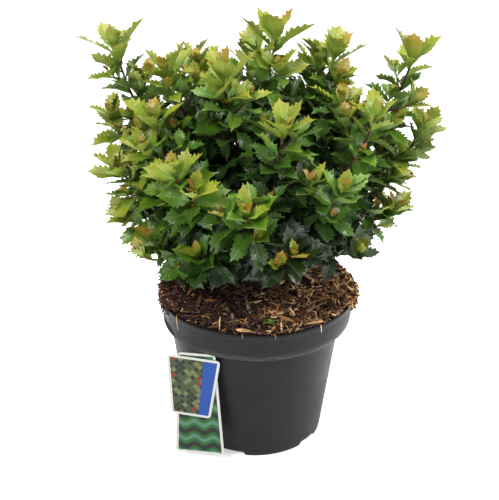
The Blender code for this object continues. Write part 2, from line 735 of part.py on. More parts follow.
def build():
    clear_scene()
    parts = make_collection("potted_holly")
    cutters = make_collection("cutters")
    materials = {name: make_material(name) for name in COLOURS}
    add_pot(parts, cutters, materials["pot"])
    add_growing_mix(parts, materials["growing_mix"])
    add_label("label_back", BACK_LABEL, parts, materials["label_back"])
    add_label("label_front", FRONT_LABEL, parts, materials["label_front"])
    add_main_stem(parts, materials["bark"])
    boughs = shoot_tips()
    curves, forks = plan_boughs(boughs)
    for name, curve in curves.items():
        add_bough(f"bough_{name}", curve, parts, materials["bark"])
    stems = plan_stems(boughs, forks)
    spaces = Spaces(stems, curves.values())
    profile = twig_profile(cutters)
    total = 0
    for index, (name, stem) in enumerate(stems.items()):
        seed_turn = index * SHOOT_TURN_DEG
        twigs = [stem] + plan_side_twigs(name, stem, spaces, seed_turn)
        leaves = plan_leaves(name, twigs, spaces, seed_turn)
        total += len(leaves)
        add_mass(name, twigs, leaves, parts, profile, materials["foliage"])
    print(f"{len(stems)} masses of foliage with {total} leaves")


build()
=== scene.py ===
import math
import bpy
import numpy as np
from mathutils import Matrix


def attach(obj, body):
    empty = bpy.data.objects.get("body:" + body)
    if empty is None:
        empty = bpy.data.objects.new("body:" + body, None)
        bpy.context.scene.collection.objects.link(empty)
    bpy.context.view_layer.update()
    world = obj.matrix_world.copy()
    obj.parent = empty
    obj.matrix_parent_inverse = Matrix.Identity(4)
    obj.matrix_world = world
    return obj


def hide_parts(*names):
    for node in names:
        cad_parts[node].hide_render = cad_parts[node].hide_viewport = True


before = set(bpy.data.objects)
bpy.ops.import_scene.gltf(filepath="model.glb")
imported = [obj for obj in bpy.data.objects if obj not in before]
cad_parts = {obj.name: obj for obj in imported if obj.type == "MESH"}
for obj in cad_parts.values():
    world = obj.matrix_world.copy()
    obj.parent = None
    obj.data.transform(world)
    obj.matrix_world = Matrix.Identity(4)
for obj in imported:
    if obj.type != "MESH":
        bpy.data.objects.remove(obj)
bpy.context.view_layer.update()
mm = 0.001
dice = np.random.default_rng(29)

# What the view and the light can be changed by; the camera is 0.9 m in front of the pot, looking down
viewSetup = {"place": (0.0, -0.9, 0.5991), "pitchDeg": 24.332, "yawDeg": 0.323, "focal": 73.70}
lightSetup = {
    "world": 0.46, "floorGlow": 0.5, "aim": (0, 0, 0.22),
    "lamps": {"key": {"place": (-0.95, -1.45, 1.75), "size": 0.9, "power": 41},
              "fill": {"place": (1.9, -0.2, 0.95), "size": 1.2, "power": 40},
              "top": {"place": (0.1, 0.25, 1.9), "size": 1.4, "power": 36}},
}


# Rows divided by their own lengths
def unit(rows):
    return rows / np.maximum(np.linalg.norm(rows, axis=-1, keepdims=True), 1e-9)


# A colour given as screen values from 0 to 255, turned into the light values shaders use
def linear(red, green, blue):
    screen = np.array([red, green, blue]) / 255
    return tuple(np.where(screen <= 0.04045, screen / 12.92, ((screen + 0.055) / 1.055) ** 2.4)) + (1.0,)


def addObject(name, data):
    thing = bpy.data.objects.new(name, data)
    bpy.context.scene.collection.objects.link(thing)
    return thing


def addCamera():
    camera = addObject("camera", bpy.data.cameras.new("camera"))
    camera.data.lens = viewSetup["focal"]
    camera.location = viewSetup["place"]
    camera.rotation_euler = (math.radians(90 - viewSetup["pitchDeg"]), 0, math.radians(viewSetup["yawDeg"]))
    bpy.context.scene.camera = camera


# A white world and round lamps, each turned to face the middle of the plant
def addLights():
    world = bpy.data.worlds.new("studio")
    world.use_nodes = True
    backdrop = world.node_tree.nodes["Background"].inputs
    backdrop["Color"].default_value = (1, 1, 1, 1)
    backdrop["Strength"].default_value = lightSetup["world"]
    bpy.context.scene.world = world
    for name, spec in lightSetup["lamps"].items():
        lamp = bpy.data.lights.new(name, "AREA")
        lamp.shape, lamp.size, lamp.energy = "DISK", spec["size"], spec["power"]
        holder = addObject(name, lamp)
        holder.location = spec["place"]
        x, y, z = np.array(lightSetup["aim"]) - np.array(spec["place"])
        holder.rotation_euler = (math.atan2(math.hypot(x, y), -z), 0, math.atan2(y, x) - math.pi / 2)


# Materials and the node groups that they share


# Sets a socket to a number or a colour, or links another node's output to it
def feed(tree, socket, value):
    if isinstance(value, bpy.types.NodeSocket):
        tree.links.new(value, socket)
    else:
        socket.default_value = value


# A shader node with its own settings, then its inputs by name or number
def newNode(tree, kind, values=(), **settings):
    node = tree.nodes.new("ShaderNode" + kind)
    for name, setting in settings.items():
        setattr(node, name, setting)
    for key, value in dict(values).items():
        feed(tree, node.inputs[key], value)
    return node


def mathNode(tree, operation, *values):
    return newNode(tree, "Math", enumerate(values), operation=operation).outputs[0]


def mixColour(tree, factor, first, second):
    return newNode(tree, "Mix", {0: factor, 6: first, 7: second}, data_type="RGBA").outputs[2]


def noiseNode(tree, vector, scale, detail=4.0, roughness=0.55):
    values = {"Vector": vector, "Scale": scale, "Detail": detail, "Roughness": roughness}
    return newNode(tree, "TexNoise", values).outputs["Fac"]


def mapRange(tree, value, low, high, toLow=0.0, toHigh=1.0):
    values = {"Value": value, "From Min": low, "From Max": high, "To Min": toLow, "To Max": toHigh}
    return newNode(tree, "MapRange", values).outputs["Result"]


def objectPlace(tree):
    return newNode(tree, "TexCoord").outputs["Object"]


# The two ways of the piece's own UV map
def uvWays(tree):
    split = newNode(tree, "SeparateXYZ", {0: newNode(tree, "UVMap", uv_map="UVMap").outputs["UV"]})
    return split.outputs["X"], split.outputs["Y"]


# A node group: build takes its tree and its inputs, and gives back its outputs by name
def newGroup(name, inputs, build):
    tree = bpy.data.node_groups.new(name, "ShaderNodeTree")
    for label, value in inputs.items():
        kind = "NodeSocketColor" if isinstance(value, tuple) else "NodeSocketFloat"
        tree.interface.new_socket(label, in_out="INPUT", socket_type=kind).default_value = value
    results = build(tree, tree.nodes.new("NodeGroupInput").outputs)
    for label in results:
        kind = "NodeSocketColor" if label == "Colour" else "NodeSocketFloat"
        tree.interface.new_socket(label, in_out="OUTPUT", socket_type=kind)
    outside = tree.nodes.new("NodeGroupOutput")
    for label, value in results.items():
        tree.links.new(value, outside.inputs[label])
    return tree


# Two sizes of noise on object coordinates, as a mask, a mottled colour and a height
def buildMottle(tree, given):
    place = objectPlace(tree)
    coarse = noiseNode(tree, place, given["Scale"])
    fine = noiseNode(tree, place, mathNode(tree, "MULTIPLY", given["Scale"], 6.0))
    both = mathNode(tree, "ADD", mathNode(tree, "MULTIPLY", coarse, 0.65),
                    mathNode(tree, "MULTIPLY", fine, 0.35))
    mask = mapRange(tree, both, 0.36, 0.64)
    share = mathNode(tree, "MULTIPLY", mask, given["Amount"])
    return {"Colour": mixColour(tree, share, given["Colour"], given["Second"]), "Mask": mask, "Height": both}


# Midrib and side veins of a leaf from its UV map: across is U, root to tip is V
def buildVeins(tree, given):
    u, v = uvWays(tree)
    across = mathNode(tree, "ABSOLUTE", mathNode(tree, "SUBTRACT", u, 0.5))
    midrib = mapRange(tree, across, 0.012, 0.045, 1.0, 0.0)
    slant = mathNode(tree, "SUBTRACT", v, mathNode(tree, "MULTIPLY", across, 0.55))
    wave = mathNode(tree, "PINGPONG", mathNode(tree, "MULTIPLY", slant, given["Pairs"]), 0.5)
    swell = mathNode(tree, "SQRT", mathNode(tree, "MULTIPLY", wave, 2.0))
    return {"Midrib": midrib, "Veins": mapRange(tree, wave, 0.0, 0.10, 1.0, 0.0),
            "Height": mathNode(tree, "SUBTRACT", swell, mathNode(tree, "MULTIPLY", midrib, 1.4)),
            "Tip": mapRange(tree, v, 0.35, 1.0), "Edge": mapRange(tree, across, 0.22, 0.5)}


mottle = newGroup("mottle", {"Colour": (0.5, 0.5, 0.5, 1), "Second": (0.3, 0.3, 0.3, 1), "Scale": 40.0,
                             "Amount": 0.5}, buildMottle)
leafVeins = newGroup("leafVeins", {"Pairs": 6.0}, buildVeins)


def newMaterial(name, roughness, specular):
    material = bpy.data.materials.new(name)
    material.use_nodes = True
    tree = material.node_tree
    shader = tree.nodes["Principled BSDF"].inputs
    shader["Roughness"].default_value = roughness
    shader["Specular IOR Level"].default_value = specular
    return material, tree, shader


def useGroup(tree, group, **values):
    return newNode(tree, "Group", values, node_tree=group).outputs


def addBump(tree, shader, height, strength, distance):
    values = {"Height": height, "Strength": strength, "Distance": distance}
    feed(tree, shader["Normal"], newNode(tree, "Bump", values).outputs["Normal"])


# Waxy blade: mottled colour, paler midrib and side veins, and a tint towards tip and edge
def leafMaterial(name, blade, shade, vein, tint, tintAmount, roughness, bumpHeight):
    material, tree, shader = newMaterial(name, roughness, 0.42)
    ground = useGroup(tree, mottle, Colour=linear(*blade), Second=linear(*shade), Scale=45.0, Amount=0.75)
    veins = useGroup(tree, leafVeins, Pairs=6.5)
    toTip = mathNode(tree, "MULTIPLY", mathNode(tree, "MAXIMUM", veins["Tip"], veins["Edge"]), tintAmount)
    tinted = mixColour(tree, toTip, ground["Colour"], linear(*tint))
    lines = mathNode(tree, "MAXIMUM", mathNode(tree, "MULTIPLY", veins["Midrib"], 0.45),
                     mathNode(tree, "MULTIPLY", veins["Veins"], 0.14))
    feed(tree, shader["Base Color"], mixColour(tree, lines, tinted, linear(*vein)))
    gloss = mapRange(tree, ground["Mask"], 0.0, 1.0, roughness - 0.06, roughness + 0.1)
    feed(tree, shader["Roughness"], gloss)
    addBump(tree, shader, veins["Height"], 0.6, bumpHeight)
    return material


# blade, shade, vein, tint, tint amount, roughness, bump height
leafPaints = {
    "deep": ((26, 45, 13), (15, 29, 10), (48, 66, 34), (24, 39, 12), 0.3, 0.36, 0.00025),
    "old": ((40, 68, 18), (25, 47, 14), (72, 95, 42), (38, 62, 14), 0.3, 0.34, 0.00025),
    "mid": ((60, 95, 22), (40, 71, 20), (99, 128, 54), (66, 98, 22), 0.3, 0.32, 0.00022),
    "fresh": ((86, 126, 30), (60, 101, 28), (126, 152, 66), (106, 122, 28), 0.4, 0.32, 0.0002),
    "young": ((116, 145, 36), (88, 123, 32), (152, 168, 76), (158, 122, 34), 0.55, 0.34, 0.0002),
    "bronze": ((127, 147, 42), (101, 127, 36), (160, 164, 76), (178, 100, 42), 0.72, 0.35, 0.0002),
    "red": ((146, 126, 46), (126, 102, 38), (166, 138, 68), (168, 72, 38), 0.8, 0.36, 0.0002),
    # the undersides are paler partly as their own colour and partly as painted light, standing in for light
    # that shines through the blade
    "underDeep": ((47, 65, 30), (37, 53, 25), (76, 94, 52), (46, 62, 28), 0.2, 0.5, 0.0002),
    "underMid": ((96, 120, 52), (80, 104, 46), (126, 146, 76), (104, 118, 46), 0.3, 0.5, 0.0002),
    "underYoung": ((134, 156, 58), (114, 138, 50), (158, 174, 88), (158, 138, 54), 0.5, 0.46, 0.0002),
    "underBronze": ((150, 152, 58), (130, 134, 50), (168, 168, 82), (176, 112, 50), 0.55, 0.46, 0.0002),
}
leafPaint = {name: leafMaterial(f"leaf_{name}", *spec) for name, spec in leafPaints.items()}


# Rough bark or wood: two mottled colours, with relief from the same noise
def woodMaterial(name, wood, shade, roughness, finish):
    material, tree, shader = newMaterial(name, roughness, finish["specular"])
    ground = useGroup(tree, mottle, Colour=linear(*wood), Second=linear(*shade), Scale=finish["scale"],
                      Amount=finish["amount"])
    feed(tree, shader["Base Color"], ground["Colour"])
    addBump(tree, shader, ground["Height"], finish["relief"], finish["depth"])
    return material


barkFinish = {"specular": 0.35, "scale": 160.0, "amount": 1.0, "relief": 0.7, "depth": 0.0008}
mulchFinish = {"specular": 0.3, "scale": 170.0, "amount": 0.9, "relief": 0.8, "depth": 0.0006}
barkColours = {"old": ((58, 40, 38), (30, 22, 22), 0.7), "twig": ((66, 38, 42), (40, 26, 28), 0.5),
               "green": ((122, 96, 58), (96, 62, 48), 0.45)}
mulchColours = {
    "peat": ((34, 22, 17), (16, 11, 9), 0.95), "dark": ((51, 32, 22), (28, 18, 13), 0.85),
    "plum": ((76, 48, 44), (42, 27, 26), 0.85), "brown": ((104, 70, 43), (64, 41, 26), 0.85),
    "rust": ((166, 114, 70), (112, 72, 44), 0.85), "straw": ((222, 186, 132), (172, 130, 84), 0.85),
    "grey": ((128, 112, 98), (86, 72, 62), 0.85),
}
barkPaint = {name: woodMaterial("bark_" + name, *spec, barkFinish) for name, spec in barkColours.items()}
mulchPaint = {name: woodMaterial("mulch_" + name, *spec, mulchFinish) for name, spec in mulchColours.items()}


# Dark grey moulded plastic: fine grain, cloudy dust, and thin scuffs that are a little paler. The skirt's
# lower edge carries a painted highlight: a pale streaky band between two heights, where the bevel catches the
# light
def potMaterial():
    material, tree, shader = newMaterial("pot_plastic", 0.45, 0.15)
    ground = useGroup(tree, mottle, Colour=linear(10, 11, 12), Second=linear(27, 27, 28), Scale=15.0,
                      Amount=0.9)
    place = objectPlace(tree)
    stretch = newNode(tree, "Mapping", {"Vector": place, "Scale": (1.0, 1.0, 9.0),
                                        "Rotation": (0.5, 0.35, 0.2)})
    streaks = noiseNode(tree, stretch.outputs["Vector"], 55.0, 6.0, 0.7)
    scuff = mapRange(tree, streaks, 0.62, 0.73, 0.0, 0.5)
    specks = noiseNode(tree, place, 420.0, 2.0)
    dust = mapRange(tree, specks, 0.66, 0.78, 0.0, 0.6)
    height = newNode(tree, "SeparateXYZ", {0: place}).outputs["Z"]
    # painted highlight: a pale streaky band low on the skirt, standing in for the light that the bevel
    # catches
    highlightBand = mathNode(tree, "MULTIPLY", mapRange(tree, height, 0.1200, 0.1215),
                      mapRange(tree, height, 0.1235, 0.1285, 1.0, 0.0))
    edgeHighlight = mathNode(tree, "MULTIPLY", highlightBand, mapRange(tree, streaks, 0.38, 0.60, 0.1, 0.95))
    # the real scuffs and dust and the painted highlight all take the same pale grey
    scuffDustAndHighlight = mathNode(tree, "MAXIMUM", mathNode(tree, "MAXIMUM", scuff, dust), edgeHighlight)
    feed(tree, shader["Base Color"], mixColour(tree, scuffDustAndHighlight, ground["Colour"], linear(66, 65, 63)))
    feed(tree, shader["Roughness"], mapRange(tree, ground["Mask"], 0.0, 1.0, 0.36, 0.54))
    grain = mathNode(tree, "ADD", ground["Height"], mathNode(tree, "MULTIPLY", specks, 0.5))
    addBump(tree, shader, grain, 0.35, 0.0004)
    return material


def plainPrint(tree, colour):
    faded = tuple(int(part * 0.93) for part in colour)
    ground = useGroup(tree, mottle, Colour=linear(*colour), Second=linear(*faded), Scale=30.0, Amount=0.6)
    return ground["Colour"]


# Lozenges: both diagonals of the card's own map are cut into cells, and every cell takes one of three
# greens or, now and then, red
def lozengePrint(tree, size, greens, accent, line):
    u, v = uvWays(tree)
    rising = mathNode(tree, "DIVIDE", mathNode(tree, "ADD", u, v), size)
    falling = mathNode(tree, "DIVIDE", mathNode(tree, "SUBTRACT", u, v), size)
    cell = newNode(tree, "CombineXYZ", {"X": mathNode(tree, "FLOOR", rising),
                                        "Y": mathNode(tree, "FLOOR", falling)})
    draw = newNode(tree, "TexWhiteNoise", {"Vector": cell.outputs[0]}).outputs["Value"]
    colour = linear(*greens[0])
    for limit, following in ((0.36, greens[1]), (0.68, greens[2]), (0.90, accent)):
        colour = mixColour(tree, mathNode(tree, "GREATER_THAN", draw, limit), colour, linear(*following))
    nearest = mathNode(tree, "MINIMUM", mathNode(tree, "PINGPONG", rising, 0.5),
                       mathNode(tree, "PINGPONG", falling, 0.5))
    return mixColour(tree, mapRange(tree, nearest, 0.03, 0.07, 1.0, 0.0), colour, linear(*line))


# Waves: the height on the card plus a sine of the place across it, cut into bands of greens
def wavePrint(tree, size, greens):
    u, v = uvWays(tree)
    swing = mathNode(tree, "MULTIPLY", mathNode(tree, "SINE", mathNode(tree, "MULTIPLY", u, 3.4)), 0.22)
    band = mathNode(tree, "PINGPONG", mathNode(tree, "DIVIDE", mathNode(tree, "ADD", v, swing), size), 1.0)
    colour = mixColour(tree, mapRange(tree, band, 0.30, 0.36), linear(*greens[0]), linear(*greens[1]))
    return mixColour(tree, mapRange(tree, band, 0.72, 0.78), colour, linear(*greens[2]))


def cardMaterial(name, pattern, *values):
    material, tree, shader = newMaterial(name, 0.4, 0.3)
    feed(tree, shader["Base Color"], pattern(tree, *values))
    return material


# Meshes from arrays


# A mesh object from whole arrays: faces is a list of arrays, each of one kind of polygon, paint is the
# number of each face's material and uv has a row for each point
def addPiece(name, points, faces, materials, paint=None, uv=None, sharpDeg=50.0):
    mesh = bpy.data.meshes.new(name)
    loops = np.concatenate([rows.ravel() for rows in faces])
    counts = np.concatenate([np.full(len(rows), rows.shape[1]) for rows in faces])
    mesh.vertices.add(len(points))
    mesh.vertices.foreach_set("co", points.astype(np.float32).ravel())
    mesh.loops.add(len(loops))
    mesh.loops.foreach_set("vertex_index", loops.astype(np.int32))
    mesh.polygons.add(len(counts))
    mesh.polygons.foreach_set("loop_start", (np.cumsum(counts) - counts).astype(np.int32))
    for material in materials:
        mesh.materials.append(material)
    if paint is not None:
        mesh.polygons.foreach_set("material_index", paint.astype(np.int32))
    if uv is not None:
        mesh.uv_layers.new(name="UVMap").data.foreach_set("uv", uv[loops].astype(np.float32).ravel())
    mesh.update(calc_edges=True)
    mesh.validate()
    mesh.shade_smooth()
    mesh.set_sharp_from_angle(angle=math.radians(sharpDeg))
    piece = addObject(name, mesh)
    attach(piece, "root")
    print(name, len(points), "points", int((counts - 2).sum()), "triangles")
    return piece


# Quads of a grid, with the last column joined to the first where it is closed
def gridFaces(rows, columns, closed=True):
    across = np.arange(columns if closed else columns - 1)
    row, column = np.meshgrid(np.arange(rows - 1), across, indexing="ij")
    following = (column + 1) % columns
    return np.stack([row * columns + column, row * columns + following,
                     (row + 1) * columns + following, (row + 1) * columns + column], axis=-1).reshape(-1, 4)


# Closed tubes from points shaped tubes x rings x sides: quads join the rings, and a point closes each end.
# Each ring of quads takes the paint of its lower ring; flipped turns a tube's faces to its other side
def addTubes(name, rings, starts, ends, materials, paint=None, sharpDeg=50.0, flipped=False):
    count, ringCount, sides = rings.shape[:3]
    points = np.concatenate([rings.reshape(count, -1, 3), starts[:, None], ends[:, None]], axis=1)
    around, last, middle = np.arange(sides), (ringCount - 1) * sides, np.full(sides, ringCount * sides)
    following = (around + 1) % sides
    caps = np.concatenate([np.stack([middle, following, around], axis=1),
                           np.stack([middle + 1, last + around, last + following], axis=1)])
    shift = np.arange(count)[:, None, None] * points.shape[1]
    faces = [(gridFaces(ringCount, sides)[None] + shift).reshape(-1, 4), (caps[None] + shift).reshape(-1, 3)]
    if flipped:
        faces = [rows[:, ::-1] for rows in faces]
    if paint is not None:
        paint = np.concatenate([np.repeat(paint[:, :-1], sides, axis=1).ravel(),
                                np.repeat(paint[:, [0, -1]], sides, axis=1).ravel()])
    return addPiece(name, points.reshape(-1, 3), faces, materials, paint, None, sharpDeg)


# Points round the axis: the radius times the angle's cosine and sine, pushed along x by the shift, and the
# height
def turned(radius, height, angle, shift=0.0):
    x, y = radius * np.cos(angle) + shift, radius * np.sin(angle)
    return np.stack([x, y, np.broadcast_to(height, x.shape)], axis=-1)

# The shoots' plan: the same sizes and the same rule as the solids, so that everything grows on from them

growth = {
    "headRadius": 15 * mm, "headHeight": 193 * mm, "gap": 0.3 * mm, "mixCrown": 158 * mm,
    "boughSpreadDeg": 29, "forkReach": 0.46, "forkRise": 0.40, "boughUpturn": 0.5, "pull": 0.38,
    "boughBase": 3.3 * mm, "boughTip": 2.0 * mm, "knuckle": 3.2 * mm, "boughPoints": 6,
    "stemSpreadDeg": 58, "uprightAbove": 340 * mm, "sprawlBelow": 220 * mm, "uprightLean": 0.25,
    "sprawlLean": 1.35, "stemPoints": 5, "sidePlaces": (0.34, 0.64), "sideLength": 42 * mm,
    "sideAngleDeg": 52, "sideShare": 0.42, "sideUpturn": 0.9, "sideTurnsDeg": (0, 40, -40, 80, -80, 120),
    "goldenDeg": 137.5, "shootTurnDeg": 53, "spaceMargin": 0.45 * mm, "limbMargin": 1.5 * mm,
    "tipGrowth": 6 * mm, "tallTipGrowth": 4 * mm, "tallAbove": 370 * mm, "tipSteps": 4, "tipUpturn": 0.22,
}
# azimuth in degrees, reach and height of each shoot's tip in millimetres
frontShoots = {
    "left": {"tall": (178, 125, 387), "upper": (-170, 80, 372), "rear": (150, 124, 300)},
    "left_low": {"mid": (169, 136, 316), "outer": (-163, 126, 286), "low": (-171, 124, 236)},
    "front_left": {"upper": (-146, 106, 343), "mid": (-124, 122, 308), "low": (-117, 104, 226),
                   "side": (-155, 112, 206)},
    "front": {"upper": (-74, 86, 342), "mid": (-93, 130, 280), "low": (-74, 120, 238)},
    "centre": {"top": (15, 19, 395), "left": (-122, 52, 374), "rear": (140, 68, 366)},
    "front_right": {"upper": (-24, 114, 340), "mid": (-53, 122, 288), "low": (-31, 104, 214)},
    "right": {"tall": (6, 144, 379), "upper": (25, 82, 378), "inner": (-7, 78, 340)},
    "right_low": {"mid": (8, 160, 306), "rear": (20, 156, 272), "low": (-5, 128, 236)},
}
backBoughs = {"back_right": 52, "back": 91, "back_left": 127}
backShoots = {"upper": (2, 104, 362), "mid": (-14, 134, 300), "low": (12, 114, 232)}


def tipPoint(azimuthDeg, reach, height):
    angle = math.radians(azimuthDeg)
    return np.array([math.cos(angle) * reach, math.sin(angle) * reach, height]) * mm


def shootTips():
    boughs = {}
    for bough, shoots in frontShoots.items():
        boughs[bough] = {name: tipPoint(*sizes) for name, sizes in shoots.items()}
    for bough, middle in backBoughs.items():
        boughs[bough] = {name: tipPoint(middle + turn, reach, height)
                         for name, (turn, reach, height) in backShoots.items()}
    return boughs


# Turns unit vectors away from each other until every pair is the least angle apart
def spreadApart(directions, leastDeg, rounds=60):
    least = math.radians(leastDeg)
    spread = [direction.copy() for direction in directions]
    for _ in range(rounds):
        for first in range(len(spread)):
            for second in range(first + 1, len(spread)):
                angle = math.acos(np.clip(spread[first] @ spread[second], -1, 1))
                if angle < least:
                    push = unit(spread[first] - spread[second]) * (least - angle) * 0.55
                    spread[first] = unit(spread[first] + push)
                    spread[second] = unit(spread[second] - push)
    return spread


# Cubic curve: the two ends and two handles along their directions, weighted by the share
def bendCurve(start, startDirection, end, endDirection, count):
    reach = np.linalg.norm(end - start) * growth["pull"]
    handles = np.stack([start, start + startDirection * reach, end - endDirection * reach, end])
    share = np.linspace(0, 1, count)[:, None]
    rest = 1 - share
    return np.hstack([rest ** 3, 3 * rest ** 2 * share, 3 * rest * share ** 2, share ** 3]) @ handles


# Ends of each bough, from the head's surface to a fork that lies part of the way to the mean of its shoots'
# tips
def planBoughs(boughs):
    head = np.array([0, 0, growth["headHeight"]])
    forks = {}
    for bough, shoots in boughs.items():
        mean = np.mean(list(shoots.values()), axis=0)
        forks[bough] = np.array([mean[0] * growth["forkReach"], mean[1] * growth["forkReach"],
                                 head[2] + (mean[2] - head[2]) * growth["forkRise"]])
    leaving = spreadApart([unit(fork - head) for fork in forks.values()], growth["boughSpreadDeg"])
    ends = {}
    for (bough, fork), direction in zip(forks.items(), leaving):
        start = head + direction * (growth["headRadius"] + growth["gap"])
        arriving = unit(unit(fork - start) + np.array([0, 0, growth["boughUpturn"]]))
        ends[bough] = (start, direction, fork, arriving)
    return ends, forks


# Ends of each leading twig, from its fork to its tip; the lower the tip, the more it leans out there
def planStems(boughs, forks):
    ends = {}
    for bough, shoots in boughs.items():
        fork = forks[bough]
        leaving = spreadApart([unit(tip - fork) for tip in shoots.values()], growth["stemSpreadDeg"])
        for (shoot, tip), direction in zip(shoots.items(), leaving):
            start = fork + direction * (growth["knuckle"] + growth["gap"] * 1.5)
            outward = unit(np.array([tip[0], tip[1], 0]))
            span = growth["uprightAbove"] - growth["sprawlBelow"]
            low = min(max((growth["uprightAbove"] - tip[2]) / span, 0), 1)
            lean = growth["uprightLean"] + (growth["sprawlLean"] - growth["uprightLean"]) * low
            ends[f"{bough}_{shoot}"] = (start, direction, tip, unit(outward * lean + np.array([0, 0, 1])))
    return ends


# Distance of every sample point to every straight piece
def distances(samples, starts, ends):
    run = ends - starts
    square = np.maximum((run ** 2).sum(axis=1), 1e-12)
    share = np.clip(((samples[:, None, :] - starts) * run).sum(axis=2) / square, 0, 1)
    nearest = starts + run * share[:, :, None]
    return np.sqrt(((samples[:, None, :] - nearest) ** 2).sum(axis=2))


def segmentsOf(curves):
    return np.concatenate([c[:-1] for c in curves]), np.concatenate([c[1:] for c in curves])


# Ways from the foot of a line of points to each of its points
def waysAlong(points):
    return np.concatenate(([0], np.cumsum(np.linalg.norm(np.diff(points, axis=0), axis=1))))


# Place and direction at a share of the length of a line of points
def frameAlong(points, share):
    reached = waysAlong(points)
    wanted = share * reached[-1]
    index = min(max(int(np.searchsorted(reached, wanted, side="right")) - 1, 0), len(points) - 2)
    direction = unit(points[index + 1] - points[index])
    return points[index] + direction * (wanted - reached[index]), direction


# Unit vector square to a direction, turned about it from a fixed start
def sideOf(direction, turnDeg):
    reference = np.array([0, 0, 1.0]) if abs(direction[2]) < 0.9 else np.array([0, 1.0, 0])
    first = unit(np.cross(direction, reference))
    angle = math.radians(turnDeg)
    return first * math.cos(angle) + np.cross(direction, first) * math.sin(angle)


boughTips = shootTips()
boughEnds, forks = planBoughs(boughTips)
stemEnds = planStems(boughTips, forks)
coarseStems = {name: bendCurve(*ends, growth["stemPoints"]) for name, ends in stemEnds.items()}
stemCurves = {name: bendCurve(*ends, 25) for name, ends in stemEnds.items()}
boughCurves = {name: bendCurve(*ends, 15) for name, ends in boughEnds.items()}
stemStarts, stemStops = segmentsOf(list(coarseStems.values()))
stemOwner = np.concatenate([[name] * (len(c) - 1) for name, c in coarseStems.items()])
limbStarts, limbStops = segmentsOf([bendCurve(*ends, growth["boughPoints"]) for ends in boughEnds.values()])


# True where all samples lie in the space round this shoot, above the mix and clear of the limbs
def holds(name, samples, margin):
    if samples[:, 2].min() < growth["mixCrown"] + 2 * mm:
        return False
    if distances(samples, limbStarts, limbStops).min() < growth["boughBase"] + growth["limbMargin"]:
        return False
    apart = distances(samples, stemStarts, stemStops)
    own = stemOwner == name
    return bool((apart[:, ~own].min(axis=1) > apart[:, own].min(axis=1) + 2 * margin).all())


# A short twig that leaves the leading one and bends up, in the first turn with room for it
def sideTwig(name, points, share, turnDeg, length, turns):
    place, direction = frameAlong(points, share)
    angle = math.radians(growth["sideAngleDeg"])
    for extra in turns:
        leaving = direction * math.cos(angle) + sideOf(direction, turnDeg + extra) * math.sin(angle)
        arriving = unit(leaving + np.array([0, 0, growth["sideUpturn"]]))
        line = (place, leaving, place + (leaving + arriving) * length / 2, arriving)
        if holds(name, bendCurve(*line, 3)[1:], growth["spaceMargin"]):
            return line
    return None


# places of the finer twigs on a leading twig and of the spurs on a bough, as shares of the length
fineTwigs = {"places": (0.16, 0.27, 0.38, 0.50, 0.62, 0.78), "length": 26 * mm, "lengthShare": 0.3,
             "turnDeg": 61, "turnsDeg": (0, 50, -50, 100, -100)}
spurs = {"places": (0.22, 0.40, 0.58, 0.74, 0.90), "length": 24 * mm, "angleDeg": 68, "upturn": 0.25,
         "turnsDeg": (0, 60, -60, 120, -120, 180), "aboveMix": 9 * mm}
crownShape = {"centre": np.array([5, 0, 262]) * mm, "reach": np.array([152, 148, 152]) * mm}


# Distance from the crown's middle as a share of its reach: 1 lies on the outline
def outness(point):
    return float(np.linalg.norm((point - crownShape["centre"]) / crownShape["reach"]))


# A spur on a bough: leaves at a wide angle in the first turn that keeps it over the mulch
def spurTwig(curve, share, turnDeg):
    place, direction = frameAlong(curve, share)
    angle = math.radians(spurs["angleDeg"])
    for extra in spurs["turnsDeg"]:
        leaving = direction * math.cos(angle) + sideOf(direction, turnDeg + extra) * math.sin(angle)
        arriving = unit(leaving + np.array([0, 0, spurs["upturn"]]))
        tip = place + (leaving + arriving) * spurs["length"] / 2
        if tip[2] > growth["mixCrown"] + spurs["aboveMix"]:
            return bendCurve(place, leaving, tip, arriving, 7)
    return None


# Lets a twig grow on past the source's tip in a few short steps that turn up more and more; of the upright
# shoots only the tallest do
def turnUp(curve):
    reach = growth["tipGrowth"]
    if curve[-1][2] > growth["uprightAbove"]:
        reach = min(max(curve[-1][2] - growth["tallAbove"], 0.4 * mm), growth["tallTipGrowth"])
    heading, points = unit(curve[-1] - curve[-2]), [curve[-1]]
    for _ in range(growth["tipSteps"]):
        heading = unit(heading + np.array([0, 0, growth["tipUpturn"]]))
        points.append(points[-1] + heading * reach / growth["tipSteps"])
    return np.concatenate([curve, points[1:]])


# Vigour of a shoot by the height of its tip and how far it points sideways; the left side is the stronger
def strengthOf(tip):
    sideways = tip[0] / np.hypot(tip[0], tip[1])
    return min(max((tip[2] - 195 * mm) / (80 * mm) + max(0.35 * sideways, -0.6 * sideways), 0.3), 1)


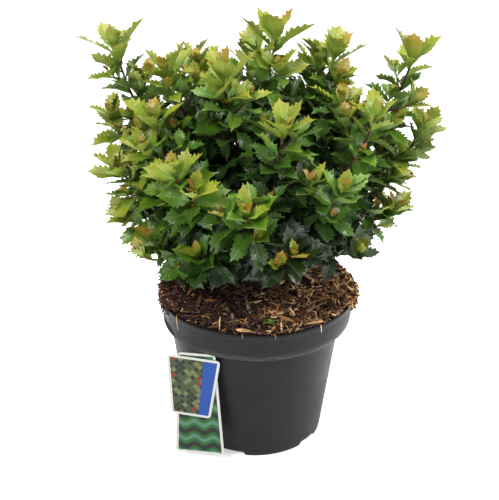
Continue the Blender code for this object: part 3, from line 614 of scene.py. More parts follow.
# Every twig with its kind, a turn that seeds its leaves, and a vigour: 1 ends in a bright young rosette
def planTwigs():
    plan = []

    def add(kind, curve, turn, vigour):
        plan.append({"kind": kind, "curve": curve, "turn": turn, "vigour": vigour})

    for order, (name, coarse) in enumerate(coarseStems.items()):
        firstTurn, strength = order * growth["shootTurnDeg"], strengthOf(coarse[-1])
        add("leader", turnUp(stemCurves[name]), firstTurn, strength)
        total = waysAlong(coarse)[-1]
        for index, share in enumerate(growth["sidePlaces"]):
            length = min(growth["sideLength"], total * growth["sideShare"]) * (1 - 0.3 * share)
            turn = firstTurn + index * growth["goldenDeg"]
            line = sideTwig(name, coarse, share, turn, length, growth["sideTurnsDeg"])
            if line is not None:
                vigour = 0.95 * strength * min(max((outness(line[2]) - 0.50) / 0.34, 0), 1)
                add("side", turnUp(bendCurve(*line, 9)), firstTurn + 71 * (index + 1), vigour)
        for index, share in enumerate(fineTwigs["places"]):
            length = min(fineTwigs["length"], total * fineTwigs["lengthShare"]) * (1.1 - 0.35 * share)
            turn = firstTurn + fineTwigs["turnDeg"] + index * growth["goldenDeg"]
            line = sideTwig(name, stemCurves[name], share, turn, length, fineTwigs["turnsDeg"])
            if line is not None:
                vigour = 0.75 * strength * min(max((outness(line[2]) - 0.58) / 0.34, 0), 1)
                add("fine", bendCurve(*line, 7), firstTurn + 97 * (index + 1), vigour)
    for order, curve in enumerate(boughCurves.values()):
        for index, share in enumerate(spurs["places"]):
            turn = order * growth["shootTurnDeg"] + index * growth["goldenDeg"]
            line = spurTwig(curve, share, turn)
            if line is not None:
                add("spur", line, turn, 0.0)
    return plan


twigPlan = planTwigs()
print(len(coarseStems), "shoots", len(twigPlan), "twigs")

# Top of the mulch, which the leaves keep clear of

mulch = {"edgeRadius": 92.6 * mm, "edgeHeight": 149 * mm, "crown": 157 * mm, "shift": 2.2 * mm}


# Height of the mulch: highest in the middle, falling as the square of the way to the rim, and uneven
def moundHeight(x, y):
    reach = np.hypot(x - mulch["shift"], y) / mulch["edgeRadius"]
    smooth = mulch["crown"] + (mulch["edgeHeight"] - mulch["crown"]) * reach ** 2
    lumps = 1.5 * np.sin(x * 95 + 1.3) * np.sin(y * 110 + 0.4) + 0.8 * np.sin(x * 240 + y * 180)
    return smooth + lumps * mm * np.clip(1.25 - reach, 0, 1)


# Leaves

leafSizes = {
    "leader": {"spacing": 5.4 * mm, "open": 7.6 * mm, "first": 5 * mm, "length": 36 * mm, "topShare": 0.84,
               "tuftShare": 0.92},
    "side": {"spacing": 5.0 * mm, "open": 6.5 * mm, "first": 5 * mm, "length": 33 * mm, "topShare": 0.86,
             "tuftShare": 0.86},
    "fine": {"spacing": 4.6 * mm, "open": 5.0 * mm, "first": 4 * mm, "length": 30 * mm, "topShare": 0.88,
             "tuftShare": 0.84},
    "spur": {"spacing": 4.4 * mm, "open": 4.2 * mm, "first": 4 * mm, "length": 33 * mm, "topShare": 0.95,
             "tuftShare": 0.9},
    "turnSpread": 9, "leanSpread": 5, "lengths": (0.86, 1.1), "tallFrom": 368 * mm, "tallSpan": 16 * mm,
    "openReach": 50 * mm, "pairPull": 0.32, "lowLeanDeg": 80, "highLeanDeg": 50, "widthShare": 0.51,
    "tuftStep": 2.2 * mm, "tuftLeansDeg": (66, 58, 50, 42, 34, 26, 18, 10),
    "tuftShares": (1.0, 1.0, 1.0, 0.94, 0.8, 0.58, 0.42, 0.3), "tuftUpturn": 0.3, "tallBonus": 0.3,
    "rise": 0.5, "riseReach": 90 * mm, "droop": 0.9, "droopBelow": 245 * mm, "droopSpan": 50 * mm,
    "droopWithin": 100 * mm, "droopFade": 24 * mm, "facing": 0.5, "tuftFacing": 0.1,
    "sweepMiddle": -9 * mm, "sweepBeyond": 81 * mm, "sweepHeight": 184 * mm, "sweepRise": 0.45,
    "leastRoom": 1.3 * mm, "near": 30 * mm, "paintSteps": (30, 52, 78, 108), "dullDrop": 60,
    # the last four set the painted shade on low leaves near the middle and the painted light on high leaves
    "levelHeight": 345, "lowSpan": 115, "lowShadeDrop": 92, "highLightRise": 34,
}


# Ways from a twig's foot to its leaves: close together below, wider apart in the open upper part, where every
# second leaf is drawn down towards the one before it
def leafReaches(total, tuft, size):
    reaches = [total - tuft - 0.5 * size["open"]]
    while reaches[-1] > size["first"]:
        isOpen = total - reaches[-1] < leafSizes["openReach"]
        reaches.append(reaches[-1] - size["open" if isOpen else "spacing"])
    reaches = np.array(reaches[-2::-1])
    pull = (np.arange(len(reaches)) % 2) * (total - reaches < leafSizes["openReach"])
    return reaches - pull * leafSizes["pairPull"] * size["open"]


# A number kept between 0 and 1
def fraction(value):
    return min(max(value, 0), 1)


# Leaves in a golden spiral up every twig, then a cup of ever steeper ones, the last of them tiny. Young
# leaves are lifted by a share of the vertical, and old ones near the mulch are let down
def growLeaves():
    rows = []
    for order, twig in enumerate(twigPlan):
        size, curve = leafSizes[twig["kind"]], twig["curve"]
        total = waysAlong(curve)[-1]
        leans, shares = leafSizes["tuftLeansDeg"], leafSizes["tuftShares"]
        if twig["kind"] in ("fine", "spur"):
            leans, shares = leans[::2], shares[::2]
        step = leafSizes["tuftStep"] * dice.uniform(0.75, 1.3)
        tuft = len(leans) * step
        above = curve[-1][2] - leafSizes["tallFrom"]
        tall = leafSizes["tallBonus"] * fraction(above / leafSizes["tallSpan"])
        low = leafReaches(total, tuft, size)
        for index in range(len(low) + len(leans)):
            inTuft = index - len(low)
            if inTuft < 0:
                reach = low[index]
                share = reach / total
                lean = (1 - share) * leafSizes["lowLeanDeg"] + share * leafSizes["highLeanDeg"]
                length = size["length"] * (1 - (1 - size["topShare"]) * share)
            else:
                reach = total - tuft + (inTuft + 0.5) * step
                lean = leans[inTuft]
                length = size["length"] * shares[inTuft] * size["tuftShare"] * (1 + tall * lean / leans[0])
            place, direction = frameAlong(curve, min(reach / total, 1.0))
            youth = fraction(1 - (total - reach) / leafSizes["riseReach"]) * twig["vigour"]
            overPot = leafSizes["droopWithin"] - np.hypot(place[0], place[1])
            sag = fraction((leafSizes["droopBelow"] - place[2]) / leafSizes["droopSpan"])
            sag *= fraction(overPot / leafSizes["droopFade"])
            if inTuft >= 0:
                direction = unit(direction + np.array([0, 0, leafSizes["tuftUpturn"]]))
            turn = twig["turn"] + index * growth["goldenDeg"] + dice.normal(0, leafSizes["turnSpread"])
            rows.append({"place": place, "direction": direction, "age": total - reach,
                         "vigour": twig["vigour"], "turn": turn,
                         "lean": lean + dice.normal(0, leafSizes["leanSpread"]),
                         "length": length * dice.uniform(*leafSizes["lengths"]),
                         "lift": leafSizes["rise"] * youth - leafSizes["droop"] * sag * (1 - youth),
                         "facing": leafSizes["facing" if inTuft < 0 else "tuftFacing"],
                         "tuft": inTuft / len(leans) if inTuft >= 0 else -1.0, "twig": order})
    return rows


# A leaf's own directions, along its midrib and up from its face: it leans off the twig, is lifted or let
# down, and its face turns part of the way to the sky
def leafBasis(row, turn):
    direction, lean = row["direction"], math.radians(row["lean"])
    out = sideOf(direction, turn)
    along = direction * math.cos(lean) + out * math.sin(lean)
    along = unit(along + np.array([0, 0, row["lift"] * (1 - along[2] * np.sign(row["lift"]))]))
    up = direction * math.sin(lean) - out * math.cos(lean) + np.array([0, 0, row["facing"]])
    return along, unit(up - (up @ along) * along)


# A few points of a blade, to keep leaves apart: down the midrib, at both sides and at the tip
def probes(root, along, up, length):
    side = np.cross(up, along)
    half = side * length * leafSizes["widthShare"] * 0.4
    down = root + along * length * np.array([[0.4], [0.6], [0.8], [0.98]])
    return np.concatenate([down[:3], [down[1] + half, down[1] - half], down[3:]])


# True where a point is in the mulch or just above it
def isInMulch(x, y, z):
    return np.hypot(x, y) < 97 * mm and z < moundHeight(x, y) + 3 * mm


# True where a point hangs below the swept-up sides of the crown
def hangsOut(x, y, z):
    aside = abs(x - leafSizes["sweepMiddle"]) > leafSizes["sweepBeyond"]
    return aside and z < leafSizes["sweepHeight"] - leafSizes["sweepRise"] * y


# Turns each leaf to the freest of a few directions, and drops those with no room at all
def placeLeaves():
    placed = np.zeros((0, 3))
    kept = []
    for row in growLeaves():
        best = None
        turns = (0, 24, -24, 48, -48, 75) if row["tuft"] < 0.5 else (0, 18, -18)
        for extra in turns:
            along, up = leafBasis(row, row["turn"] + extra)
            points = probes(row["place"], along, up, row["length"])
            lowest = points[points[:, 2].argmin()]
            if hangsOut(*lowest):
                break
            if isInMulch(*lowest):
                continue
            near = placed[np.abs(placed - points[1]).max(axis=1) < leafSizes["near"]]
            room = np.linalg.norm(points[:, None] - near[None], axis=2).min() if len(near) else 1.0
            room -= abs(extra) * 0.004 * mm
            if best is None or room > best[0]:
                best = (room, along, up, points)
        if best is None or (best[0] < leafSizes["leastRoom"] and row["tuft"] < 0):
            continue
        placed = np.concatenate([placed, best[3]])
        kept.append(row | {"along": best[1], "up": best[2]})
    return kept


# paints in the order of their age: top and underside of each
sprayPaints = [("deep", "underDeep"), ("old", "underDeep"), ("mid", "underMid"), ("fresh", "underMid"),
               ("young", "underYoung"), ("bronze", "underBronze"), ("red", "underBronze")]


# Deals a paint to each leaf by its way from the twig's tip; a weak twig counts as older. A low place near the
# middle gets older, darker paint as painted shade, by the square of its depth, and a high place gets younger,
# paler paint as painted light
def paintLeaf(row):
    # painted shade below the level height near the middle and painted light above it, both counted as leaf
    # age
    low = (leafSizes["levelHeight"] - row["place"][2] / mm) / leafSizes["lowSpan"]
    below = leafSizes["highLightRise"] * low
    if low > 0:
        below = leafSizes["lowShadeDrop"] * low ** 2 * (1 - min(abs(row["place"][0] / mm - 24) / 105, 1))
    score = row["age"] / mm + (1 - row["vigour"]) * leafSizes["dullDrop"] + below + dice.normal(0, 7)
    if row["vigour"] > 0.3 and row["tuft"] > 0.7:
        return 6 if dice.random() < 0.5 else 5
    if row["vigour"] > 0.5 and row["tuft"] > 0.48:
        return 5 if dice.random() < 0.42 else 4
    return 4 - int(np.searchsorted(leafSizes["paintSteps"], score))


leafRows = placeLeaves()
bareEnds = {}
for row in leafRows:
    row["paint"] = paintLeaf(row)
    bareEnds[row["twig"]] = min(row["age"], bareEnds.get(row["twig"], 1.0))
print(len(leafRows), "leaves", np.bincount([row["paint"] for row in leafRows]), "of each paint")


# Stations from root to tip with the half width of the blade there. The envelope is a sine of a power of the
# share, so the base is a long wedge and the widest place lies past the middle. Above the smooth base the edge
# slants out to each spine and falls back just behind it; the sign is 1 at a spine and -1 at a bay
def leafTemplate(teeth, firstTooth=0.34, lastTooth=0.85):
    def envelope(share):
        return math.sin(math.pi * share ** 1.22) ** 0.86

    stations, signs = [0.0, 0.05, 0.14, 0.25], [0] * 4
    widths = [0.0, 0.055, envelope(0.14) * 0.8, envelope(0.25) * 0.94]
    pitch = (lastTooth - firstTooth) / (teeth - 1)
    for tooth in range(teeth):
        share = firstTooth + pitch * tooth
        bay = share + pitch * 0.34
        stations += [share, bay]
        widths += [envelope(share) + 0.15 + 0.03 * (tooth % 2), envelope(min(bay, 0.985)) * 0.84]
        signs += [1, -1]
    return np.array(stations + [0.97, 1.06]), np.array(widths + [0.15, 0.0]), np.array(signs + [0.0, 0.0])


# spans of each leaf's own width, fold of its halves, curl, sway, twist and waves; leaves of a tuft fold and
# curl by spans of their own
leafSpans = {"width": (0.82, 1.16), "tuftFold": (0.22, 0.62), "fold": (0.16, 0.60), "tuftCurl": (-0.12, 0.20),
             "curl": (0.0, 0.30), "sway": (-0.07, 0.07), "twist": (-0.35, 0.35), "wave": (0.035, 0.085),
             "phase": (0, 6.28)}
leafRelief = {"swell": 0.014, "toothSwell": 0.002, "spineRise": 0.5, "edgeWave": 0.6, "waves": 11,
              "upper": 0.15 * mm, "lower": 0.4 * mm, "spineReach": 0.030}


# Joined leaves, each a closed blade of four strips on top and two below. A point is root + along x + side y
# + up z: x runs down the midrib and draws back with the curl, y is the share of the half width and sways, and
# z adds the fold, the swell beside the midrib, the wavy edge, the spines that stand up, and the curl
def leafMesh(name, rows, paints, teeth):
    stations, widths, signs = leafTemplate(teeth)
    inner, count = len(stations) - 2, len(rows)
    across = np.array([-1, -0.5, 0, 0.5, 1, 0])  # five columns on top, one underneath
    roots, along, up = (np.array([row[key] for row in rows]) for key in ("place", "along", "up"))
    length, tuft = (np.array([row[key] for row in rows])[:, None] for key in ("length", "tuft"))
    side = np.cross(up, along)
    own = {key: dice.uniform(low, high, (count, 1)) for key, (low, high) in leafSpans.items()}
    half = length * leafSizes["widthShare"] / 2 * own["width"]
    fold = np.where(tuft >= 0, own["tuftFold"], own["fold"])
    curl = np.where(tuft >= 0, own["tuftCurl"], own["curl"])

    def perStation(values):  # a value of each station for its six points, with none at the two ends
        return np.concatenate([[0.0], np.repeat(values[1:-1], 6), [0.0]])

    def perColumn(values):  # a value of each column, with none at the two ends
        return np.concatenate([[0.0], np.tile(values, inner), [0.0]])

    x = perStation(stations)
    x[-1] = stations[-1]
    y = perStation(widths) * perColumn(across)
    rim = perStation(signs) * perColumn(np.abs(across) == 1)
    swell = leafRelief["swell"] + leafRelief["toothSwell"] * perStation(signs)
    wavy = np.sin(x * leafRelief["waves"] + own["phase"]) * np.abs(y) * leafRelief["edgeWave"]
    z = fold * half * np.abs(y) * (1 - 0.25 * np.abs(y)) + perColumn(np.abs(across) == 0.5) * swell * length
    z = z + (rim.clip(0) * leafRelief["spineRise"] + wavy) * own["wave"] * length - curl * length * x ** 2
    onTop, underneath = np.abs(across) < 1, np.arange(6) == 5
    z = z + leafRelief["upper"] * perColumn(onTop) - leafRelief["lower"] * perColumn(underneath)
    bigX = length * (x - 0.6 * curl ** 2 * x ** 3 + leafRelief["spineReach"] * rim.clip(0))
    bigY = half * y + own["sway"] * length * x ** 2
    turn = own["twist"] * x
    points = (roots[:, None] + along[:, None] * bigX[..., None]
              + side[:, None] * (bigY * np.cos(turn) - z * np.sin(turn))[..., None]
              + up[:, None] * (bigY * np.sin(turn) + z * np.cos(turn))[..., None]).reshape(-1, 3)
    uv = np.stack([0.5 + 0.42 * y, x / stations[-1]], axis=1)
    first = 1 + np.arange(inner - 1)[:, None] * 6
    top = np.concatenate([np.hstack([first + c, first + 6 + c, first + 7 + c, first + 1 + c])
                          for c in range(4)])
    under = np.concatenate([np.hstack([first, first + 5, first + 11, first + 6]),
                            np.hstack([first + 5, first + 4, first + 10, first + 11])])
    last, end = 1 + (inner - 1) * 6, 1 + inner * 6
    topEnds = [[0, 1 + c, 2 + c] for c in range(4)] + [[end, last + c + 1, last + c] for c in range(4)]
    underEnds = [[0, 6, 1], [0, 5, 6], [end, last, last + 5], [end, last + 5, last + 4]]
    shift = np.arange(count)[:, None, None] * (end + 1)
    faces = [(np.concatenate(pair)[None] + shift).reshape(-1, pair[0].shape[1])
             for pair in ((top, under), (np.array(topEnds), np.array(underEnds)))]
    pick = np.array([row["pick"] for row in rows])[:, None] * 2
    paint = np.concatenate([(pick + np.repeat([0, 1], sizes)).ravel()
                            for sizes in ((len(top), len(under)), (len(topEnds), len(underEnds)))])
    materials = [leafPaint[member] for pair in paints for member in pair]
    return addPiece(name, points, faces, materials, paint, np.tile(uv, (count, 1)), 75.0)


leafPieces = {"leavesDeep": (0,), "leavesOld": (1,), "leavesMid": (2,), "leavesFresh": (3,),
              "leavesYoung": (4,), "leavesBronze": (5, 6)}
for pieceName, members in leafPieces.items():
    rows = [row | {"pick": members.index(row["paint"])} for row in leafRows if row["paint"] in members]
    piece = leafMesh(pieceName, rows, [sprayPaints[member] for member in members], 5)
    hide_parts(*[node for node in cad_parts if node.startswith("foliage")])

# Bark: limbs and twigs as round tubes with relief


# Rings round many curves of one length: centre plus radius times the ring's two directions
def tubeRings(curves, radii, sides):
    tangent = unit(np.gradient(curves, axis=1))
    mean = unit(curves[:, -1] - curves[:, 0])
    reference = np.where(np.abs(mean[:, 2:3]) < 0.8, np.array([[0, 0, 1.0]]), np.array([[0, 1.0, 0]]))
    first = unit(reference[:, None] - (reference[:, None] * tangent).sum(axis=2, keepdims=True) * tangent)
    second = np.cross(tangent, first)
    angle = np.linspace(0, 2 * np.pi, sides, endpoint=False)[:, None]
    ring = first[:, :, None] * np.cos(angle) + second[:, :, None] * np.sin(angle)
    return curves[:, :, None] + ring * radii[:, :, None, None]


# The same curve with points at even distances
def resample(curve, count):
    reached = waysAlong(curve)
    wanted = np.linspace(0, reached[-1], count)
    return np.stack([np.interp(wanted, reached, curve[:, k]) for k in range(3)], axis=1)


twigShapes = {
    "leader": {"piece": "leadingTwigs", "foot": 1.75 * mm, "tip": 0.85 * mm, "rings": 22, "sides": 7},
    "side": {"piece": "sideTwigs", "foot": 1.15 * mm, "tip": 0.65 * mm, "rings": 12, "sides": 6},
    "fine": {"piece": "fineTwigs", "foot": 0.95 * mm, "tip": 0.55 * mm, "rings": 12, "sides": 6},
    "spur": {"piece": "spurTwigs", "foot": 1.0 * mm, "tip": 0.6 * mm, "rings": 12, "sides": 6},
}
twigLooks = {"nodeSwell": 0.16, "green": 22 * mm, "old": 200 * mm, "sunk": 3.4 * mm, "bareShare": 0.8}


# Twigs thin towards their tips and swell a little at every leaf; young ends are greener. A twig stops at its
# last leaf, and one that bears none is left out
def addTwigs():
    cut = []
    for order, twig in enumerate(twigPlan):
        total = waysAlong(twig["curve"])[-1]
        if bareEnds.get(order, total) < twigLooks["bareShare"] * total:
            shares = np.linspace(0, 1 - bareEnds[order] / total, 25)
            cut.append((twig["kind"], np.stack([frameAlong(twig["curve"], share)[0] for share in shares])))
    for kind, shape in twigShapes.items():
        even = np.stack([resample(curve, shape["rings"]) for itsKind, curve in cut if itsKind == kind])
        if kind == "leader":
            even[:, 0] -= unit(even[:, 1] - even[:, 0]) * twigLooks["sunk"]  # into the bough's knuckle
        share = np.linspace(0, 1, shape["rings"])
        radii = shape["foot"] + (shape["tip"] - shape["foot"]) * share
        wobble = 1 + twigLooks["nodeSwell"] * dice.uniform(-0.5, 1, even.shape[:2])
        total = np.linalg.norm(np.diff(even, axis=1), axis=2).sum(axis=1)
        fromTip = (1 - share)[None] * total[:, None]
        paint = np.where(fromTip < twigLooks["green"], 2, np.where(fromTip < twigLooks["old"], 1, 0))
        if kind == "spur":
            paint = np.ones_like(paint)
        rings = tubeRings(even, radii[None] * wobble, shape["sides"])
        addTubes(shape["piece"], rings, even[:, 0], even[:, -1],
                 [barkPaint["old"], barkPaint["twig"], barkPaint["green"]], paint)


# Bark relief: sums of sines over the surface, finer across than along
def ridges(points, height, scale):
    a, b, c = np.moveaxis(points * scale, -1, 0)
    return height * (np.sin(a * 1.7 + 2 * np.sin(c * 0.8)) * np.sin(b * 2.1 + c * 0.6)
                     + 0.6 * np.sin(a * 4.3 + b * 3.1 + c * 1.3) + 0.4 * np.sin(b * 7.9 - a * 6.7 + c * 2.2))


# how far each bough reaches into the head and past its fork, and the radii of its last four rings, which are
# its knuckle
boughShape = {"points": 26, "sunk": 9 * mm, "beyond": 2.4 * mm, "sides": 14, "swell": 1.12, "wobble": 0.07,
              "knuckle": (2.5 * mm, 3.0 * mm, 3.1 * mm, 1.7 * mm), "relief": 0.12 * mm, "fineness": 900}
stemShape = {"sunk": 2 * mm, "neckBelow": 11.6 * mm, "neck": 9.5 * mm, "flare": 9 * mm, "sides": 64,
             "headFrom": -0.88, "lobes": 0.10, "lobeHeight": 20 * mm, "relief": 0.35 * mm, "fineness": 420}


# Boughs from inside the head out to the knuckles at their forks
def addBoughs():
    curves = np.stack([resample(curve, boughShape["points"]) for curve in boughCurves.values()])
    inward = unit(curves[:, :1] - curves[:, 1:2]) * boughShape["sunk"]
    onward = unit(curves[:, -1:] - curves[:, -2:-1]) * boughShape["beyond"]
    curves = np.concatenate([curves[:, :1] + inward, curves, curves[:, -1:] + onward], axis=1)
    share = np.linspace(0, 1, curves.shape[1])
    radii = growth["boughBase"] * boughShape["swell"] + (growth["boughTip"] - growth["boughBase"]) * share
    radii[-4:] = boughShape["knuckle"]
    wobble = 1 + boughShape["wobble"] * dice.uniform(-1, 1, curves.shape[:2])
    rings = tubeRings(curves, radii[None] * wobble, boughShape["sides"])
    relief = ridges(rings, boughShape["relief"], boughShape["fineness"])[..., None]
    rings = rings + unit(rings - curves[:, :, None]) * relief
    boughs = addTubes("boughs", rings, curves[:, 0], curves[:, -1], [barkPaint["old"]])
    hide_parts(*[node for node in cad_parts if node.startswith("bough")])


# The main stem: height and radius of a flare, a neck and a round head, carried round the axis
def addMainStem():
    foot = growth["mixCrown"] - stemShape["sunk"]
    neck = growth["headHeight"] - stemShape["neckBelow"]
    low = np.linspace(0, 1, 16)
    turn = np.linspace(stemShape["headFrom"], math.pi / 2 - 0.02, 14)[1:]
    radius = np.concatenate([stemShape["neck"] + stemShape["flare"] * (1 - low) ** 3,
                             growth["headRadius"] * np.cos(turn)])[:, None]
    height = np.concatenate([foot + (neck - foot) * low,
                             growth["headHeight"] + growth["headRadius"] * np.sin(turn)])[:, None]
    angle = np.linspace(0, 2 * np.pi, stemShape["sides"], endpoint=False)
    fade = np.clip(1 - (height - foot) / stemShape["lobeHeight"], 0, 1)
    rings = turned(radius * (1 + stemShape["lobes"] * np.sin(angle * 5 + 1) * fade), height, angle)
    relief = ridges(rings, stemShape["relief"], stemShape["fineness"])[..., None]
    rings = rings + unit(rings * np.array([1, 1, 0]) + 1e-9) * relief
    stem = addTubes("mainStem", rings[None], np.array([[0, 0, foot]]), np.array([[0, 0, height[-1, 0]]]),
                    [barkPaint["old"]])
    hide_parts("main_stem")


addTwigs()
addBoughs()
addMainStem()

# Growing mix: a rough mound, then crumbs, chips and fibres of shredded bark on it

# radius and height in millimetres of the wall and floor of the mix in the pot, from the floor up
mixWall = np.array([(61.6, 7.4), (65.4, 11.4), (81.4, 122.9), (90.0, 123.6), (92.4, 146.6)]) * mm
mixShape = {"rings": 60, "sides": 160, "rough": 0.45 * mm, "below": 0.6 * mm, "shiftAbove": 130 * mm}


# A disc of rings on the mound's height, closed by the wall and floor of the mix in the pot
def addMound():
    angle = np.linspace(0, 2 * np.pi, mixShape["sides"], endpoint=False)
    reach = np.linspace(0, 1, mixShape["rings"])[1:, None] * mulch["edgeRadius"]
    x, y = reach * np.cos(angle) + mulch["shift"], reach * np.sin(angle)
    z = moundHeight(x, y) - mixShape["below"] + dice.normal(0, mixShape["rough"], x.shape)
    shift = mulch["shift"] * (mixWall[:, 1:] > mixShape["shiftAbove"])
    rings = np.concatenate([turned(mixWall[:, :1], mixWall[:, 1:], angle, shift),
                            np.stack([x, y, z], axis=-1)[::-1]])
    bottom, top = np.array([[0, 0, mixWall[0, 1]]]), np.array([[0, 0, moundHeight(0.0, 0.0)]])
    mound = addTubes("mulchBed", rings[None], bottom, top, [mulchPaint["peat"]], None, 80.0)
    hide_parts("growing_mix")


# Random places on the mulch, even over its area
def scatterOnMound(count):
    reach = mulch["edgeRadius"] * np.sqrt(dice.random(count))
    angle = dice.uniform(0, 2 * np.pi, count)
    x, y = reach * np.cos(angle) + mulch["shift"], reach * np.sin(angle)
    return np.stack([x, y, moundHeight(x, y)], axis=1)


# four rings along a chip as shares of its length, with the width's share at each
chipRings = {"places": np.array([-0.5, -0.18, 0.2, 0.5])[:, None], "ragged": (0.7, 1.25), "slant": (0.9, 1.1),
             "widths": np.array([0.45, 1.0, 0.9, 0.35])[:, None]}


# Joined splinters: four rings of four corners along a bent line, ragged and narrower at the ends
def chipMesh(name, centres, directions, normals, length, width, thick, bend, paint):
    count = len(centres)
    side = unit(np.cross(normals, directions))
    lift = np.cross(directions, side)
    corners = np.array([[-1, -1], [1, -1], [1, 1], [-1, 1]]) / 2
    length, width, thick, bend = (values[:, None, None] for values in (length, width, thick, bend))
    ragged = dice.uniform(*chipRings["ragged"], (count, 4, 4))
    along = chipRings["places"] * length * dice.uniform(*chipRings["slant"], (count, 4, 4))
    across = corners[:, 0] * width * chipRings["widths"] * ragged
    rise = corners[:, 1] * thick * ragged + (0.25 - chipRings["places"] ** 2) * bend * length
    points = (centres[:, None, None] + directions[:, None, None] * along[..., None]
              + side[:, None, None] * across[..., None] + lift[:, None, None] * rise[..., None])
    solid = np.concatenate([gridFaces(4, 4), [[3, 2, 1, 0], [12, 13, 14, 15]]])
    faces = (solid[None] + np.arange(count)[:, None, None] * 16).reshape(-1, 4)
    return addPiece(name, points.reshape(-1, 3), [faces], [mulchPaint[each] for each in chipPaints],
                    np.repeat(paint, len(solid)), None, 30.0)


# A direction's normal, made square to it
def squareTo(normal, direction):
    normal = unit(normal)
    return unit(normal - (normal * direction).sum(axis=1, keepdims=True) * direction)


# Directions that lie roughly flat, and normals square to them
def randomDirections(count, tiltSpread):
    azimuth = dice.uniform(0, 2 * np.pi, count)
    tilt = dice.normal(0, tiltSpread, count)
    direction = turned(np.cos(tilt), np.sin(tilt), azimuth)
    normal = np.stack([dice.normal(0, 0.35, count), dice.normal(0, 0.35, count), np.ones(count)], axis=1)
    return direction, squareTo(normal, direction)


# Slides pieces inwards until neither end is past the limit radius
def keepInside(centres, direction, length, limit):
    fromMiddle = (centres - np.array([mulch["shift"], 0, 0])) * np.array([1, 1, 0])
    half = direction * length[:, None] / 2
    over = np.maximum(*(np.hypot(*(fromMiddle + end)[:, :2].T) for end in (half, -half))) - limit
    return centres - unit(fromMiddle + 1e-9) * np.clip(over, 0, None)[:, None]


chipPaints = ["peat", "dark", "plum", "brown", "rust", "straw", "grey"]


# Draws a paint for each chip. The chips' colours are their own, but the mix leans to orange and straw towards
# the front right and to plum and dark on the left: painted light from the right and painted shade on the left
def dealMulch(centres):
    # painted light: this share grows to the right and the front, so the mix turns paler there and darker to
    # the left
    paintedLightShare = np.clip(0.08 + centres[:, 0] / (100 * mm) - centres[:, 1] / (480 * mm), 0.04, 1.0)
    shares = np.stack([0.10 - 0.08 * paintedLightShare, 0.34 - 0.20 * paintedLightShare, 0.24 - 0.20 * paintedLightShare, 0.16 + 0.10 * paintedLightShare,
                       0.06 + 0.24 * paintedLightShare, 0.02 + 0.26 * paintedLightShare, 0.03 + 0.03 * paintedLightShare], axis=1)
    limits = np.cumsum(shares / shares.sum(axis=1, keepdims=True), axis=1)
    return np.minimum((dice.random(len(centres))[:, None] > limits).sum(axis=1), len(chipPaints) - 1)


# count, middle length with its spread and limits in millimetres, width as a share of it, tilt, height above
# the mulch, and bend of every kind of piece
mulchKinds = {
    "mulchChips": {"count": 3300, "length": 6.0, "spread": 0.45, "limits": (2.5, 16), "widths": (0.13, 0.36),
                   "tilt": 0.35, "rise": (-0.4, 2.8), "bend": 0.12},
    "mulchFibres": {"count": 2400, "length": 9.0, "spread": 0.45, "limits": (4, 25), "widths": (0.05, 0.12),
                    "tilt": 0.42, "rise": (0.4, 4.0), "bend": 0.25},
    "mulchFlakes": {"count": 120, "length": 13, "spread": 0.25, "limits": (8, 21), "widths": (0.15, 0.32),
                    "tilt": 0.22, "rise": (1.5, 3.6), "bend": 0.08},
    "mulchCrumbs": {"count": 1900, "length": 2.3, "spread": 0.35, "limits": (1.2, 4), "widths": (0.5, 0.8),
                    "tilt": 0.8, "rise": (-0.3, 1.2), "bend": 0.0},
}


# Every kind of piece strewn over the mound, each at its own height and none past the rim
def addMulch():
    for name, kind in mulchKinds.items():
        count = kind["count"]
        centres = scatterOnMound(count)
        direction, normal = randomDirections(count, kind["tilt"])
        length = dice.lognormal(math.log(kind["length"]), kind["spread"], count)
        length = np.clip(length, *kind["limits"]) * mm
        width = np.maximum(length * dice.uniform(*kind["widths"], count), 0.4 * mm)
        thick = np.clip(width * dice.uniform(0.25, 0.6, count), 0.35 * mm, 1.6 * mm)
        centres = keepInside(centres, direction, length, 93.2 * mm)
        centres[:, 2] = moundHeight(centres[:, 0], centres[:, 1]) + dice.uniform(*kind["rise"], count) * mm
        paint = dealMulch(centres)
        if name == "mulchCrumbs":
            paint = np.minimum(paint, 3)
        chipMesh(name, centres, direction, normal, length, width, thick, dice.normal(0, kind["bend"], count),
                 paint)


# radius and height in millimetres of the heaps that hang over the rim, from inside the pot to down the skirt,
# and the arc, number of chips and extra reach of each heap
spillLine = np.array([(88, 154), (92.5, 156), (95.9, 154), (97.0, 150), (95.5, 146), (94.6, 141)])
spills = {"right": {"fromDeg": -27, "toDeg": 36, "count": 440, "out": 0.3, "up": -2.4, "fade": 1.35},
          "left": {"fromDeg": 170, "toDeg": 212, "count": 260, "out": -2.6, "up": 0.0, "fade": 2.0}}
spillChips = {"length": 6.5, "spread": 0.45, "limits": (2.5, 15), "widths": (0.09, 0.3), "rise": (0, 1.8)}
hangers = {"azimuthsDeg": (-141, -52, -98, -80), "lengths": (15, 9, 5, 6), "widths": (0.7, 0.7, 0.25, 0.25),
           "radius": 95.5 * mm, "top": 152 * mm, "slant": 0.12}


# Radius and height at a share of the spill line
def onSpillLine(way):
    knots = np.linspace(0, 1, len(spillLine))
    return np.stack([np.interp(way, knots, column) for column in spillLine.T])


